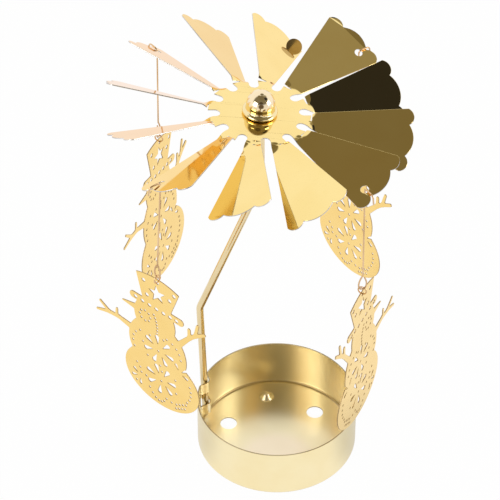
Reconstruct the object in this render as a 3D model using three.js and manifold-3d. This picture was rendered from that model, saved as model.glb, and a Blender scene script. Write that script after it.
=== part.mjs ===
// Candle carousel: a tin cup for a tealight, a bent wire stand pushed into the cup's wall, and a
// twelve-blade sheet-metal fan that turns on the wire's needle point with four pierced figures hung
// below it. Millimetres, +Z up, X to the right and Y away from the viewer. The origin is the centre
// of the cup's flat bottom.
import * as THREE from 'three';
import { mergeVertices } from 'three/addons/utils/BufferGeometryUtils.js';
import Module from 'manifold-3d';

const wasm = await Module();
wasm.setup();

// Clearances and working values
const fitGap = 0.3;
const cutOverrun = 1;
const weldDistance = 0.0001;

// Cup
const cupRadius = 31;
const cupHeight = 21.2;
const cupWall = 0.5;
const cupCorner = 1.6;
const cupFacets = 60;
const cornerFacets = 4;
const ventCount = 3;
const ventReach = 20.1;
const ventRadius = 3.3;
const ventFacets = 20;
const pipReach = 22;
const pipRadius = 2.3;
const pipHeight = 2.7;
const pipFacets = 12;
// A pip's rounded profile, in shares of its radius and height
const pipShares = [[0.8, 0.38], [0.5, 0.82], [0.2, 0.98]];

// Sleeve: three straps lanced from the cup's wall, pressed in, out and in, that grip the stand
const sleeveTurn = THREE.MathUtils.degToRad(160.2);
const sleeveHalfWidth = 4.3;
const sleeveFacets = 12;
const sleeveFoot = 3.9;
const slitHeight = 0.5;
const slitCutShare = 1.2;
const strapCount = 3;

// Stand: one bent wire, drawn in the upright plane through the cup's axis and the sleeve
const rodRadius = 1.4;
const rodSides = 12;
const legLean = THREE.MathUtils.degToRad(1.8);
const lowBendHeight = 59.7;
const highBendHeight = 128.9;
const bendRadius = 6;
const bendFacets = 5;
const pivotOffset = 7;
const needleHeight = 166;
const needleLength = 5;
const needlePointRadius = 0.25;
const needleFootShare = 0.96;

// Fan sheet
const sheet = 0.4;
const bladeCount = 12;
const firstBladeTurn = THREE.MathUtils.degToRad(-7.6);
const slotWidth = 3.5;
const slotReach = 14.2;
const slotFacets = 6;
const neckStart = 16.2;
const neckEnd = 20.6;
const slitReach = 18.4;
const slitWidth = 0.4;
const cuspReach = 53.1;
const cuspSide = 6;
const cornerInset = 1.2;
const cornerReach = cuspReach - cornerInset;
const smallLobe = 1.9;
const largeLobe = 2.2;
const smallLobeFacets = 6;
const largeLobeFacets = 10;
const holeRadius = 1.5;
const holeInset = 3.2;
const holeOffset = 1;
const holeReach = cuspReach - holeInset;
const holeSide = cuspSide - holeOffset;
const holeFacets = 12;
const hungBlades = [2, 5, 8, 11];
// Each blade was twisted, lifted and skewed by hand: degrees, from the right blade, counter-clockwise
const bladeTwists = [29, 32, 21.4, 34, 35, 36, 35, 33, 32, 32, 32, 25];
const bladeLifts = [-3, -2, 9.1, -4.5, 0, 2, 5, 1.5, -4, -1.5, -3, -2];
const bladeSkews = [0, 0, -4.2, 0, 0, 0, 0, 0, 0, 0, 0, 0];

// Knob: the fan's turned cap, whose cone sits on the needle. Heights run from the fan's middle plane
const rotorLean = THREE.MathUtils.degToRad(5.5);
const seatHeight = 4.6;
const knobRadius = 5.2;
const knobShoulder = 4.1;
const beadRadius = 6.4;
const beadThickness = 1.5;
const stemRadius = 3.3;
const rivetRadius = 4.4;
const rivetThickness = 0.6;
const boreRadius = 2.6;
const boreEnd = 2.2;
const knobFacets = 32;
const domeFacets = 7;
const beadFacets = 5;

// Hanger: a wire with a hook over the blade's edge and a teardrop eye below
const wireRadius = 0.3;
const wireSides = 6;
const hookHalf = 2.3;
const hookBend = 1.4;
const hookTail = 3.4;
const hookFlare = 0.5;
const hookLift = 0.4;
const hookFacets = 4;
const shankDrift = 1.2;
const eyeLength = 6.7;
const eyeHalfWidth = 1.5;
const eyeFacets = 14;
const eyeClosedShare = 0.86;

// Jump ring
const ringRadius = 1.6;
const ringWire = 0.25;
const ringSides = 6;
const ringFacets = 18;

// Each chain as it came to rest, in degrees: the way the figure faces, its swing in its own plane, its
// tilt out of it, its hanger's lean outward and sideways, and how far its eye is turned from the
// figure's plane. Shanks were bent by hand and differ
const chains = [
  { yaw: -51, swing: -2.5, tilt: 0, leanOut: -0.7, leanSide: 1.3, eye: 0, shank: 37.3 },
  { yaw: 64.6, swing: -4.5, tilt: -2.4, leanOut: -1.2, leanSide: 0.4, eye: 0, shank: 33.4 },
  { yaw: -39, swing: 0, tilt: 0, leanOut: 0.3, leanSide: -2.3, eye: -10, shank: 37.3 },
  { yaw: 243.5, swing: 0, tilt: 0, leanOut: -1.3, leanSide: 0.7, eye: -45, shank: 39.9 },
];

// Pierced snowman, drawn from the ring's wire in its hole: x to the right as it is looked at, z up
const plate = 0.4;
const eyeletRadius = 0.75;
const eyeletFacets = 8;
const hatRise = 1.4;
const hatTopHalf = 10;
const hatFootHalf = 6.7;
const hatCrown = 1.9;
const hatHeight = 11;
const crownShares = [0.6, 0.2, -0.2, -0.6, -1];
const brimHalf = 12.7;
const brimRadius = 1.6;
const brimDrop = 13.1;
const hatTurn = THREE.MathUtils.degToRad(-3.5);
const headRadius = 9.7;
const headDrop = 19.4;
const headSide = -1.9;
const torsoRadius = 13.7;
const torsoDrop = 33;
const torsoSide = -0.9;
const ballRadius = 17.7;
const ballRise = 13.8;
const ballDrop = 47.8;
const ballSide = 0.8;
const discFacets = 36;
const limbFacets = 4;
const starRadius = 4.1;
const starWaist = 1.7;
const starDrop = 6;
const starPoints = 5;
const starTurn = THREE.MathUtils.degToRad(100);
const petalInner = 2.9;
const petalOuter = 7.2;
const petalHalfWidth = 0.95;
const petalCount = 7;
// A petal's widest place along it, and the fullness of its shoulder, as shares
const swellShare = 0.62;
const shoulderShare = 0.8;
const torso = { side: torsoSide, drop: torsoDrop, across: torsoRadius, up: torsoRadius };
const ball = { side: ballSide, drop: ballDrop, across: ballRadius, up: ballRise };
// Rosettes and sprigs are placed from the middle of the disc that carries them, in shares of its halves
const rosetteShares = [
  { carrier: torso, side: 0.035, drop: 0.045, turn: 95 },
  { carrier: ball, side: -0.025, drop: 0.03, turn: 109 },
];
const sprigInner = 1.3;
const sprigOuter = 4.2;
const sprigHalfWidth = 0.6;
const sprigShares = [
  { carrier: ball, side: -0.605, drop: 0.32, turns: [137, 196, 274] },
  { carrier: ball, side: 0.495, drop: -0.625, turns: [118, 40, -21] },
];
// Twig arms and nose, in shares of the height from the hat's crown to the foot: ends and half widths
const figureHeight = hatRise + ballDrop + ballRise;
const limbShares = [
  [-0.17, -0.475, 0.026, -0.31, -0.445, 0.014],
  [-0.31, -0.445, 0.014, -0.385, -0.448, 0.014],
  [-0.385, -0.448, 0.013, -0.475, -0.475, 0.008],
  [-0.385, -0.445, 0.012, -0.45, -0.397, 0.008],
  [-0.325, -0.44, 0.01, -0.322, -0.39, 0.008],
  [0.14, -0.41, 0.022, 0.23, -0.297, 0.015],
  [0.23, -0.297, 0.015, 0.275, -0.256, 0.013],
  [0.275, -0.256, 0.013, 0.34, -0.212, 0.011],
  [0.23, -0.295, 0.013, 0.228, -0.235, 0.011],
  [0.273, -0.257, 0.012, 0.292, -0.17, 0.01],
  [-0.15, -0.285, 0.027, -0.272, -0.285, 0.004],
];

// Colours and finishes
const sheetGold = new THREE.MeshStandardMaterial({ color: 0xf2d893, roughness: 0.08, metalness: 1 });
const tinGold = new THREE.MeshStandardMaterial({ color: 0xe3cd93, roughness: 0.3, metalness: 1 });
const rodGold = new THREE.MeshStandardMaterial({ color: 0xecd6a4, roughness: 0.18, metalness: 1 });
const knobGold = new THREE.MeshStandardMaterial({ color: 0xd9c08a, roughness: 0.06, metalness: 1 });
const figureGold = new THREE.MeshStandardMaterial({ color: 0xf5d083, roughness: 0.22, metalness: 1 });
const copperWire = new THREE.MeshStandardMaterial({ color: 0xc99a66, roughness: 0.25, metalness: 1 });

// A closed geometry becomes a solid that can be cut and joined
function toSolid(geometry) {
  const bare = geometry.clone();
  bare.deleteAttribute('normal');
  bare.deleteAttribute('uv');
  const welded = mergeVertices(bare, weldDistance);
  const corners = welded.index.array;
  const kept = [];
  for (let i = 0; i < corners.length; i += 3) {
    const [a, b, c] = [corners[i], corners[i + 1], corners[i + 2]];
    if (a !== b && b !== c && c !== a) kept.push(a, b, c);
  }
  return new wasm.Manifold(new wasm.Mesh({
    numProp: 3,
    vertProperties: new Float32Array(welded.attributes.position.array),
    triVerts: new Uint32Array(kept),
  }));
}

function toGeometry(solid) {
  const mesh = solid.getMesh();
  const geometry = new THREE.BufferGeometry();
  geometry.setAttribute('position', new THREE.BufferAttribute(mesh.vertProperties, 3));
  geometry.setIndex(new THREE.BufferAttribute(mesh.triVerts, 1));
  geometry.computeVertexNormals();
  return geometry;
}

function joinAll(geometries) {
  return geometries.map(toSolid).reduce((whole, piece) => whole.add(piece));
}

function cutAll(solid, geometries) {
  return geometries.map(toSolid).reduce((whole, piece) => whole.subtract(piece), solid);
}

// A wire's route: one section at each station, whatever their spacing
class Route extends THREE.Curve {
  constructor(stations) {
    super();
    this.stations = stations;
  }

  getUtoTmapping(u) {
    return u;
  }

  getPoint(t, target = new THREE.Vector3()) {
    const last = this.stations.length - 1;
    const along = Math.min(Math.max(t, 0), 1) * last;
    const index = Math.min(Math.floor(along), last - 1);
    return target.lerpVectors(this.stations[index], this.stations[index + 1], along - index);
  }
}

function wire(stations, radius, sides) {
  const section = new THREE.Shape();
  for (let i = 0; i < sides; i += 1) {
    const turn = (i / sides) * Math.PI * 2;
    const move = i === 0 ? 'moveTo' : 'lineTo';
    section[move](radius * Math.cos(turn), radius * Math.sin(turn));
  }
  return new THREE.ExtrudeGeometry(section, {
    extrudePath: new Route(stations),
    steps: stations.length - 1,
    bevelEnabled: false,
  });
}

// The arc that rounds the corner between two straight runs of a wire
function bendStations(before, corner, after, radius, facets) {
  const back = before.clone().sub(corner).normalize();
  const ahead = after.clone().sub(corner).normalize();
  const half = back.angleTo(ahead) / 2;
  const inward = back.clone().add(ahead).normalize();
  const centre = corner.clone().addScaledVector(inward, radius / Math.sin(half));
  const start = corner.clone().addScaledVector(back, radius / Math.tan(half)).sub(centre);
  const axis = new THREE.Vector3().crossVectors(back, ahead).normalize().negate();
  const sweep = Math.PI - 2 * half;
  return Array.from({ length: facets + 1 }, (_, i) => (
    start.clone().applyAxisAngle(axis, (i / facets) * sweep).add(centre)));
}

// A round bar with its own profile, which starts and ends on the axis
function turned(profile, facets) {
  const lathe = new THREE.LatheGeometry(profile.map(([r, z]) => new THREE.Vector2(r, z)), facets);
  return lathe.rotateX(Math.PI / 2);
}

function arcProfile(centreR, centreZ, radius, from, to, facets) {
  return Array.from({ length: facets + 1 }, (_, i) => {
    const turn = from + ((to - from) * i) / facets;
    return [centreR + radius * Math.cos(turn), centreZ + radius * Math.sin(turn)];
  });
}

function disc(radius, thickness, facets, x = 0, y = 0, z = 0) {
  const cylinder = new THREE.CylinderGeometry(radius, radius, thickness, facets);
  return cylinder.rotateX(Math.PI / 2).translate(x, y, z);
}

// Cup
const strapPitch = (cupHeight - sleeveFoot) / strapCount;
const strapLevels = Array.from({ length: strapCount }, (_, i) => sleeveFoot + i * strapPitch);
const sleeveHeight = (sleeveFoot + cupHeight) / 2;
const legReach = cupRadius - cupWall * 2;

function rodReach(height) {
  return legReach + (height - sleeveHeight) * Math.tan(legLean);
}

// How far a strap is pressed out of the round wall, so that the wire just passes it
function strapPress(height) {
  const strap = strapLevels.findLastIndex((level) => height >= level + slitHeight / 2);
  if (strap < 0) return 0;
  const middle = rodReach(strapLevels[strap] + strapPitch / 2);
  const clear = rodRadius + fitGap + (strapPitch / 2) * Math.tan(legLean);
  if (strap % 2 === 0) return middle - clear - cupRadius;
  return middle + clear - (cupRadius - cupWall);
}

function cupShell() {
  const wallLevels = strapLevels.flatMap((level) => [level, level + slitHeight]);
  const outer = [
    ...arcProfile(cupRadius - cupCorner, cupCorner, cupCorner, -Math.PI / 2, 0, cornerFacets),
    ...wallLevels.map((level) => [cupRadius, level]),
    [cupRadius, cupHeight],
  ];
  const innerCorner = cupCorner - cupWall;
  const inner = [
    [cupRadius - cupWall, cupHeight],
    ...wallLevels.toReversed().map((level) => [cupRadius - cupWall, level]),
    ...arcProfile(cupRadius - cupCorner, cupCorner, innerCorner, 0, -Math.PI / 2, cornerFacets),
  ];
  const profile = [[0, 0], ...outer, ...inner, [0, cupWall]];
  const halfTurn = sleeveHalfWidth / cupRadius;
  const turns = [];
  for (let i = 0; i < sleeveFacets; i += 1) {
    turns.push(sleeveTurn - halfTurn + (2 * halfTurn * i) / sleeveFacets);
  }
  for (let i = 0; i < cupFacets; i += 1) {
    turns.push(sleeveTurn + halfTurn + ((2 * Math.PI - 2 * halfTurn) * i) / cupFacets);
  }
  const places = [];
  turns.forEach((turn, row) => {
    const share = row < sleeveFacets ? (1 - Math.cos((2 * Math.PI * row) / sleeveFacets)) / 2 : 0;
    profile.forEach(([r, z]) => {
      const reach = r > cupRadius - cupCorner ? r + strapPress(z) * share : r;
      places.push(reach * Math.cos(turn), reach * Math.sin(turn), z);
    });
  });
  const corners = [];
  turns.forEach((_, row) => {
    const here = row * profile.length;
    const next = ((row + 1) % turns.length) * profile.length;
    for (let i = 0; i < profile.length - 1; i += 1) {
      corners.push(here + i, next + i, next + i + 1, here + i, next + i + 1, here + i + 1);
    }
  });
  const geometry = new THREE.BufferGeometry();
  geometry.setAttribute('position', new THREE.Float32BufferAttribute(places, 3));
  geometry.setIndex(corners);
  return geometry;
}

function cupGeometry() {
  const floorTop = cupWall;
  const pips = [];
  const dimples = [];
  const vents = [];
  for (let i = 0; i < ventCount; i += 1) {
    const ventTurn = sleeveTurn + (i / ventCount) * 2 * Math.PI;
    const pipTurn = ventTurn + Math.PI / ventCount;
    vents.push(disc(ventRadius, cupWall + cutOverrun, ventFacets).translate(
      ventReach * Math.cos(ventTurn), ventReach * Math.sin(ventTurn), 0));
    const px = pipReach * Math.cos(pipTurn);
    const py = pipReach * Math.sin(pipTurn);
    const bump = pipShares.map(([reach, rise]) => [reach * pipRadius, floorTop + rise * pipHeight]);
    pips.push(turned([[0, floorTop / 2], [pipRadius, floorTop / 2], [pipRadius, floorTop],
      ...bump, [0, floorTop + pipHeight]], pipFacets).translate(px, py, 0));
    dimples.push(turned([[0, -cutOverrun], [pipRadius - cupWall, -cutOverrun], [pipRadius - cupWall, 0],
      [0, pipHeight - cupWall]], pipFacets).translate(px, py, 0));
  }
  const slits = strapLevels.map((level) => {
    const depth = cupWall + 2 * (cupRadius - legReach + rodRadius + fitGap) + 2 * cutOverrun;
    const slit = new THREE.BoxGeometry(depth, 2 * sleeveHalfWidth, slitHeight * slitCutShare);
    slit.translate(cupRadius, 0, level + slitHeight / 2);
    return slit.rotateZ(sleeveTurn);
  });
  const body = joinAll([cupShell(), ...pips]);
  return toGeometry(cutAll(body, [...dimples, ...vents, ...slits]));
}

// Stand
function rodGeometry() {
  const place = (reach, height) => (
    new THREE.Vector3(reach * Math.cos(sleeveTurn), reach * Math.sin(sleeveTurn), height));
  const foot = place(rodReach(sleeveFoot + fitGap), sleeveFoot + fitGap);
  const low = place(rodReach(lowBendHeight), lowBendHeight);
  const high = place(pivotOffset, highBendHeight);
  const needleFoot = place(pivotOffset, needleHeight - needleLength);
  const stations = [
    foot,
    ...bendStations(foot, low, high, bendRadius, bendFacets),
    ...bendStations(low, high, needleFoot, bendRadius, bendFacets),
    needleFoot,
  ];
  const shankRadius = rodRadius * needleFootShare;
  const needle = turned([[0, -needleLength], [shankRadius, -needleLength], [shankRadius, 0],
    [needlePointRadius, needleLength], [0, needleLength]], rodSides);
  needle.translate(needleFoot.x, needleFoot.y, needleFoot.z);
  return toGeometry(joinAll([wire(stations, rodRadius, rodSides), needle]));
}

// Fan
const pitch = (2 * Math.PI) / bladeCount;
const halfPitch = pitch / 2;
const neckStations = [neckStart, (neckStart + slitReach - slitWidth / 2) / 2, slitReach - slitWidth / 2,
  slitReach + slitWidth / 2, (slitReach + slitWidth / 2 + neckEnd) / 2, neckEnd];

function edgeAt(reach) {
  return reach * Math.tan(halfPitch) - slotWidth / 2 / Math.cos(halfPitch);
}

// The middle plane of a blade, in the fan's own frame: twisted, lifted and skewed beyond the neck
function bladePoint(blade, reach, side) {
  const neck = neckEnd - neckStart;
  const share = THREE.MathUtils.smoothstep(reach, neckStart, neckEnd);
  const twist = THREE.MathUtils.degToRad(bladeTwists[blade]) * share;
  const past = Math.max(reach - neckStart, 0);
  const run = past < neck ? (past * past) / (2 * neck) : past - neck / 2;
  const rise = run * Math.tan(THREE.MathUtils.degToRad(bladeLifts[blade]));
  const shift = run * Math.tan(THREE.MathUtils.degToRad(bladeSkews[blade]));
  const point = new THREE.Vector3(reach, shift + side * Math.cos(twist), rise + side * Math.sin(twist));
  return point.applyAxisAngle(new THREE.Vector3(0, 0, 1), firstBladeTurn + blade * pitch);
}

function flatPoint(turn, reach, side) {
  return new THREE.Vector3(reach, side, 0).applyAxisAngle(new THREE.Vector3(0, 0, 1), turn);
}

function lobe(from, to, bulge, facets) {
  const chord = to.clone().sub(from);
  const out = new THREE.Vector2(chord.y, -chord.x).normalize();
  const half = chord.length() / 2;
  const radius = (half * half + bulge * bulge) / (2 * bulge);
  const middle = from.clone().add(to).multiplyScalar(0.5);
  const centre = middle.addScaledVector(out, bulge - radius);
  const start = from.clone().sub(centre);
  const sweep = 2 * Math.asin(half / radius);
  return Array.from({ length: facets }, (_, i) => (
    start.clone().rotateAround(new THREE.Vector2(), ((i + 1) / facets) * sweep).add(centre)));
}

function bladeOutline() {
  const corner = edgeAt(cornerReach);
  const corners = [new THREE.Vector2(cornerReach, -corner), new THREE.Vector2(cuspReach, -cuspSide),
    new THREE.Vector2(cuspReach, cuspSide), new THREE.Vector2(cornerReach, corner)];
  const outer = slitReach + slitWidth / 2;
  return [
    new THREE.Vector2(neckEnd, -edgeAt(neckEnd)),
    corners[0],
    ...lobe(corners[0], corners[1], smallLobe, smallLobeFacets),
    ...lobe(corners[1], corners[2], largeLobe, largeLobeFacets),
    ...lobe(corners[2], corners[3], smallLobe, smallLobeFacets),
    new THREE.Vector2(outer, edgeAt(outer)),
    ...neckStations.slice(3).map((reach) => new THREE.Vector2(reach, 0)),
    new THREE.Vector2(neckEnd, -edgeAt(neckEnd) / 2),
  ];
}

// One surface of points and triangles, given a thickness and walled along its free edges
function thicken(triangles, thickness) {
  const skin = new THREE.BufferGeometry().setFromPoints(triangles);
  const welded = mergeVertices(skin, weldDistance);
  welded.computeVertexNormals();
  const place = welded.attributes.position;
  const normal = welded.attributes.normal;
  const corners = welded.index.array;
  const count = place.count;
  const places = [];
  for (const sign of [0.5, -0.5]) {
    for (let i = 0; i < count; i += 1) {
      const point = new THREE.Vector3().fromBufferAttribute(place, i);
      point.addScaledVector(new THREE.Vector3().fromBufferAttribute(normal, i), sign * thickness);
      places.push(...point.toArray());
    }
  }
  const used = new Map();
  const faces = [];
  for (let i = 0; i < corners.length; i += 3) {
    const [a, b, c] = [corners[i], corners[i + 1], corners[i + 2]];
    faces.push(a, b, c, c + count, b + count, a + count);
    for (const [from, to] of [[a, b], [b, c], [c, a]]) used.set(`${from},${to}`, [from, to]);
  }
  for (const [from, to] of used.values()) {
    if (!used.has(`${to},${from}`)) {
      faces.push(from, from + count, to + count, from, to + count, to);
    }
  }
  const geometry = new THREE.BufferGeometry();
  geometry.setAttribute('position', new THREE.Float32BufferAttribute(places, 3));
  geometry.setIndex(faces);
  return geometry;
}

function ringOfPoints(centreX, centreY, radius, facets) {
  return Array.from({ length: facets }, (_, i) => {
    const turn = (i / facets) * 2 * Math.PI;
    return new THREE.Vector2(centreX + radius * Math.cos(turn), centreY + radius * Math.sin(turn));
  });
}

function fanGeometry() {
  const triangles = [];
  const inner = slitReach - slitWidth / 2;
  const hub = [];
  const hubPlaces = [];
  const addHub = (flat, placed = flat) => {
    hub.push(new THREE.Vector2(flat.x, flat.y));
    hubPlaces.push(placed);
  };
  const fill = (outline, holes, place) => {
    const points = [...outline, ...holes.flat()];
    for (const face of THREE.ShapeUtils.triangulateShape(outline, holes)) {
      face.forEach((corner) => triangles.push(place(points[corner], corner)));
    }
  };
  for (let blade = 0; blade < bladeCount; blade += 1) {
    const turn = firstBladeTurn + blade * pitch;
    for (let i = 0; i <= slotFacets; i += 1) {
      const around = (i / slotFacets - 0.5) * Math.PI;
      const half = slotWidth / 2;
      const along = slotReach + half - half * Math.cos(around);
      addHub(flatPoint(turn - halfPitch, along, half * Math.sin(around)));
    }
    for (const share of [-1, -0.5]) addHub(flatPoint(turn, neckStart, share * edgeAt(neckStart)));
    for (const reach of neckStations.slice(0, 3)) {
      addHub(flatPoint(turn, reach, 0), bladePoint(blade, reach, 0));
    }
    addHub(flatPoint(turn, inner, edgeAt(inner)));
    for (let i = 0; i < neckStations.length - 1; i += 1) {
      for (const [from, to] of [[-1, -0.5], [-0.5, 0]]) {
        const [near, far] = [neckStations[i], neckStations[i + 1]];
        const a = bladePoint(blade, near, from * edgeAt(near));
        const b = bladePoint(blade, far, from * edgeAt(far));
        const c = bladePoint(blade, far, to * edgeAt(far));
        const d = bladePoint(blade, near, to * edgeAt(near));
        triangles.push(a, b, c, a, c, d);
      }
    }
    const hole = ringOfPoints(holeReach, -holeSide, holeRadius, holeFacets).reverse();
    const holes = hungBlades.includes(blade) ? [hole] : [];
    fill(bladeOutline(), holes, (point) => bladePoint(blade, point.x, point.y));
  }
  const stemHole = ringOfPoints(0, 0, stemRadius + fitGap, knobFacets).reverse();
  const flatHole = stemHole.map((point) => new THREE.Vector3(point.x, point.y, 0));
  const placed = [...hubPlaces, ...flatHole];
  fill(hub, [stemHole], (_, corner) => placed[corner]);
  return thicken(triangles, sheet);
}

// Knob, in the fan's own frame
function knobGeometry() {
  const under = sheet / 2 + fitGap;
  const beadMiddle = under + beadThickness / 2;
  const beadHalf = beadThickness / 2;
  const profile = [
    [0, seatHeight + fitGap],
    [boreRadius, boreEnd],
    [boreRadius, -under - rivetThickness],
    [rivetRadius, -under - rivetThickness],
    [rivetRadius, -under],
    [stemRadius, -under],
    [stemRadius, under],
    ...arcProfile(beadRadius - beadHalf, beadMiddle, beadHalf, -Math.PI / 2, Math.PI / 2, beadFacets),
    ...arcProfile(0, knobShoulder, knobRadius, 0, Math.PI / 2, domeFacets).slice(0, -1),
    [0, knobShoulder + knobRadius],
  ];
  return turned(profile, knobFacets);
}

// Hanger, from the place where its hook rests on the blade: x outward over the blade's edge
function hangerGeometry(restHeight, shank, eyeTurn) {
  const tail = new THREE.Vector3(hookHalf + hookFlare, 0, restHeight - hookTail);
  const outer = new THREE.Vector3(hookHalf, 0, restHeight);
  const inner = new THREE.Vector3(-hookHalf, 0, restHeight);
  const foot = new THREE.Vector3(-shankDrift, 0, -shank);
  const stations = [
    tail,
    ...bendStations(tail, outer, inner, hookBend, hookFacets),
    ...bendStations(outer, inner, foot, hookBend, hookFacets),
  ];
  for (let i = 0; i <= eyeFacets; i += 1) {
    const turn = (i / eyeFacets) * eyeClosedShare * 2 * Math.PI;
    const swell = Math.sin(turn) * Math.sin(turn / 2);
    const widest = 4 / Math.sqrt(27);
    const across = (eyeHalfWidth / widest) * swell;
    const drop = (eyeLength * (1 - Math.cos(turn))) / 2;
    const bow = new THREE.Vector3(across * Math.cos(eyeTurn), across * Math.sin(eyeTurn), -drop);
    stations.push(bow.add(foot));
  }
  return wire(stations, wireRadius, wireSides);
}

// Pierced figure
function bar(points, thickness) {
  const shape = new THREE.Shape(points);
  const slab = new THREE.ExtrudeGeometry(shape, { depth: thickness, bevelEnabled: false });
  return slab.translate(0, 0, -thickness / 2);
}

// A rounded bar that tapers from one end to the other
function limb(ax, ay, aHalf, bx, by, bHalf, thickness) {
  const turn = Math.atan2(by - ay, bx - ax);
  const end = (x, y, half, from) => Array.from({ length: limbFacets + 1 }, (_, i) => {
    const around = turn + from + (i / limbFacets) * Math.PI;
    return new THREE.Vector2(x + half * Math.cos(around), y + half * Math.sin(around));
  });
  return bar([...end(ax, ay, aHalf, Math.PI / 2), ...end(bx, by, bHalf, -Math.PI / 2)], thickness);
}

function petal(x, y, turn, inner, outer, halfWidth, thickness) {
  const swell = inner + (outer - inner) * swellShare;
  const shoulder = halfWidth * shoulderShare;
  const points = [[inner, 0], [swell - halfWidth, -shoulder], [swell, -halfWidth],
    [outer - halfWidth / 3, -halfWidth / 2], [outer, 0], [outer - halfWidth / 3, halfWidth / 2],
    [swell, halfWidth], [swell - halfWidth, shoulder]];
  const placed = points.map(([along, across]) => new THREE.Vector2(along, across));
  return bar(placed, thickness).rotateZ(turn).translate(x, y, 0);
}

function figureGeometry() {
  const hatFoot = hatRise - hatHeight - hatCrown;
  const hat = new THREE.Shape();
  hat.moveTo(-hatFootHalf, hatFoot);
  hat.lineTo(hatFootHalf, hatFoot);
  hat.lineTo(hatTopHalf, hatRise - hatCrown);
  for (const share of crownShares) {
    hat.lineTo(hatTopHalf * share, hatRise - hatCrown * share * share);
  }
  const hatSlab = new THREE.ExtrudeGeometry(hat, { depth: plate, bevelEnabled: false });
  hatSlab.translate(0, 0, -plate / 2).rotateZ(hatTurn);
  const brimEnd = brimHalf - brimRadius;
  const brim = limb(-brimEnd, -brimDrop, brimRadius, brimEnd, -brimDrop, brimRadius, plate);
  brim.rotateZ(hatTurn);
  const limbs = limbShares.map((row) => limb(...row.map((share) => share * figureHeight), plate));
  const whole = joinAll([
    disc(ballRadius, plate, discFacets)
      .scale(1, ballRise / ballRadius, 1)
      .translate(ballSide, -ballDrop, 0),
    disc(torsoRadius, plate, discFacets, torsoSide, -torsoDrop),
    disc(headRadius, plate, discFacets, headSide, -headDrop),
    brim,
    hatSlab,
    ...limbs,
  ]);
  const deep = plate + cutOverrun;
  const star = Array.from({ length: starPoints * 2 }, (_, i) => {
    const turn = starTurn + (i / starPoints) * Math.PI;
    const reach = i % 2 === 0 ? starRadius : starWaist;
    return new THREE.Vector2(reach * Math.cos(turn), -starDrop + reach * Math.sin(turn));
  });
  const eyelet = disc(eyeletRadius, deep, eyeletFacets, 0, ringWire - (eyeletRadius - fitGap));
  const cutters = [eyelet, bar(star, deep).rotateZ(hatTurn)];
  const placeOn = ({ carrier, side, drop }) => (
    [carrier.side + side * carrier.across, -carrier.drop - drop * carrier.up]);
  for (const rosette of rosetteShares) {
    for (let i = 0; i < petalCount; i += 1) {
      const around = THREE.MathUtils.degToRad(rosette.turn) + (i / petalCount) * 2 * Math.PI;
      const [x, z] = placeOn(rosette);
      cutters.push(petal(x, z, around, petalInner, petalOuter, petalHalfWidth, deep));
    }
  }
  for (const sprig of sprigShares) {
    for (const turn of sprig.turns) {
      const around = THREE.MathUtils.degToRad(turn);
      const [x, z] = placeOn(sprig);
      cutters.push(petal(x, z, around, sprigInner, sprigOuter, sprigHalfWidth, deep));
    }
  }
  return toGeometry(cutAll(whole, cutters)).rotateX(Math.PI / 2);
}

// Assembly
function add(parent, name, geometry, material) {
  const mesh = new THREE.Mesh(geometry, material);
  mesh.name = name;
  parent.add(mesh);
  return mesh;
}

function build() {
  const carousel = new THREE.Group();
  add(carousel, 'cup', cupGeometry(), tinGold);
  add(carousel, 'stand_rod', rodGeometry(), rodGold);

  // The rotor turns about the needle; its fan and knob lean on the point, and the chains hang plumb
  const rotor = new THREE.Group();
  rotor.position.set(pivotOffset * Math.cos(sleeveTurn), pivotOffset * Math.sin(sleeveTurn), needleHeight);
  carousel.add(rotor);
  const lean = new THREE.Group();
  lean.rotation.y = rotorLean;
  rotor.add(lean);
  const blades = new THREE.Group();
  blades.position.z = -seatHeight;
  lean.add(blades);
  add(blades, 'fan', fanGeometry(), sheetGold);
  add(blades, 'knob', knobGeometry(), knobGold);
  rotor.updateMatrixWorld(true);

  const figure = figureGeometry();
  hungBlades.forEach((blade, chain) => {
    const toRotor = (reach, side) => {
      const point = bladePoint(blade, reach, side).applyMatrix4(blades.matrixWorld);
      return rotor.worldToLocal(point);
    };
    const hole = toRotor(holeReach, -holeSide);
    const cusp = toRotor(cuspReach, -cuspSide);
    const land = cusp.clone().sub(hole);
    const across = toRotor(holeReach, 0).sub(hole);
    const faceUp = new THREE.Vector3().crossVectors(land, across).normalize();
    const landShare = (holeRadius / land.length() + 1) / 2;
    const rest = hole.clone().addScaledVector(land, landShare);
    rest.z += sheet / 2 / faceUp.z;
    const outward = Math.atan2(land.y, land.x);
    const { shank } = chains[chain];
    const [facing, swing, tilt, leanOut, leanSide, eye] = (
      ['yaw', 'swing', 'tilt', 'leanOut', 'leanSide', 'eye'].map((name) => (
        THREE.MathUtils.degToRad(chains[chain][name]))));
    const label = chain + 1;

    const hanger = new THREE.Group();
    hanger.position.copy(rest);
    hanger.rotation.set(leanSide, -leanOut, outward, 'ZYX');
    rotor.add(hanger);
    const restHeight = (wireRadius + hookLift) / faceUp.z;
    add(hanger, `hanger_${label}`, hangerGeometry(restHeight, shank, facing + eye - outward), copperWire);

    const ring = new THREE.Group();
    hanger.updateMatrix();
    ring.position.set(-shankDrift, 0, -shank - eyeLength).applyMatrix4(hanger.matrix);
    ring.rotation.set(tilt, 0, facing, 'ZYX');
    rotor.add(ring);
    const ringDrop = ringRadius - ringWire - wireRadius - fitGap;
    const hoop = new THREE.TorusGeometry(ringRadius, ringWire, ringSides, ringFacets);
    add(ring, `jump_ring_${label}`, hoop.rotateY(Math.PI / 2).translate(0, 0, -ringDrop), copperWire);

    const hung = new THREE.Group();
    hung.position.z = -ringDrop - ringRadius;
    hung.rotation.y = -swing;
    ring.add(hung);
    add(hung, `snowman_${label}`, figure.clone(), figureGold);
  });
  return carousel;
}

export default build();
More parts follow.
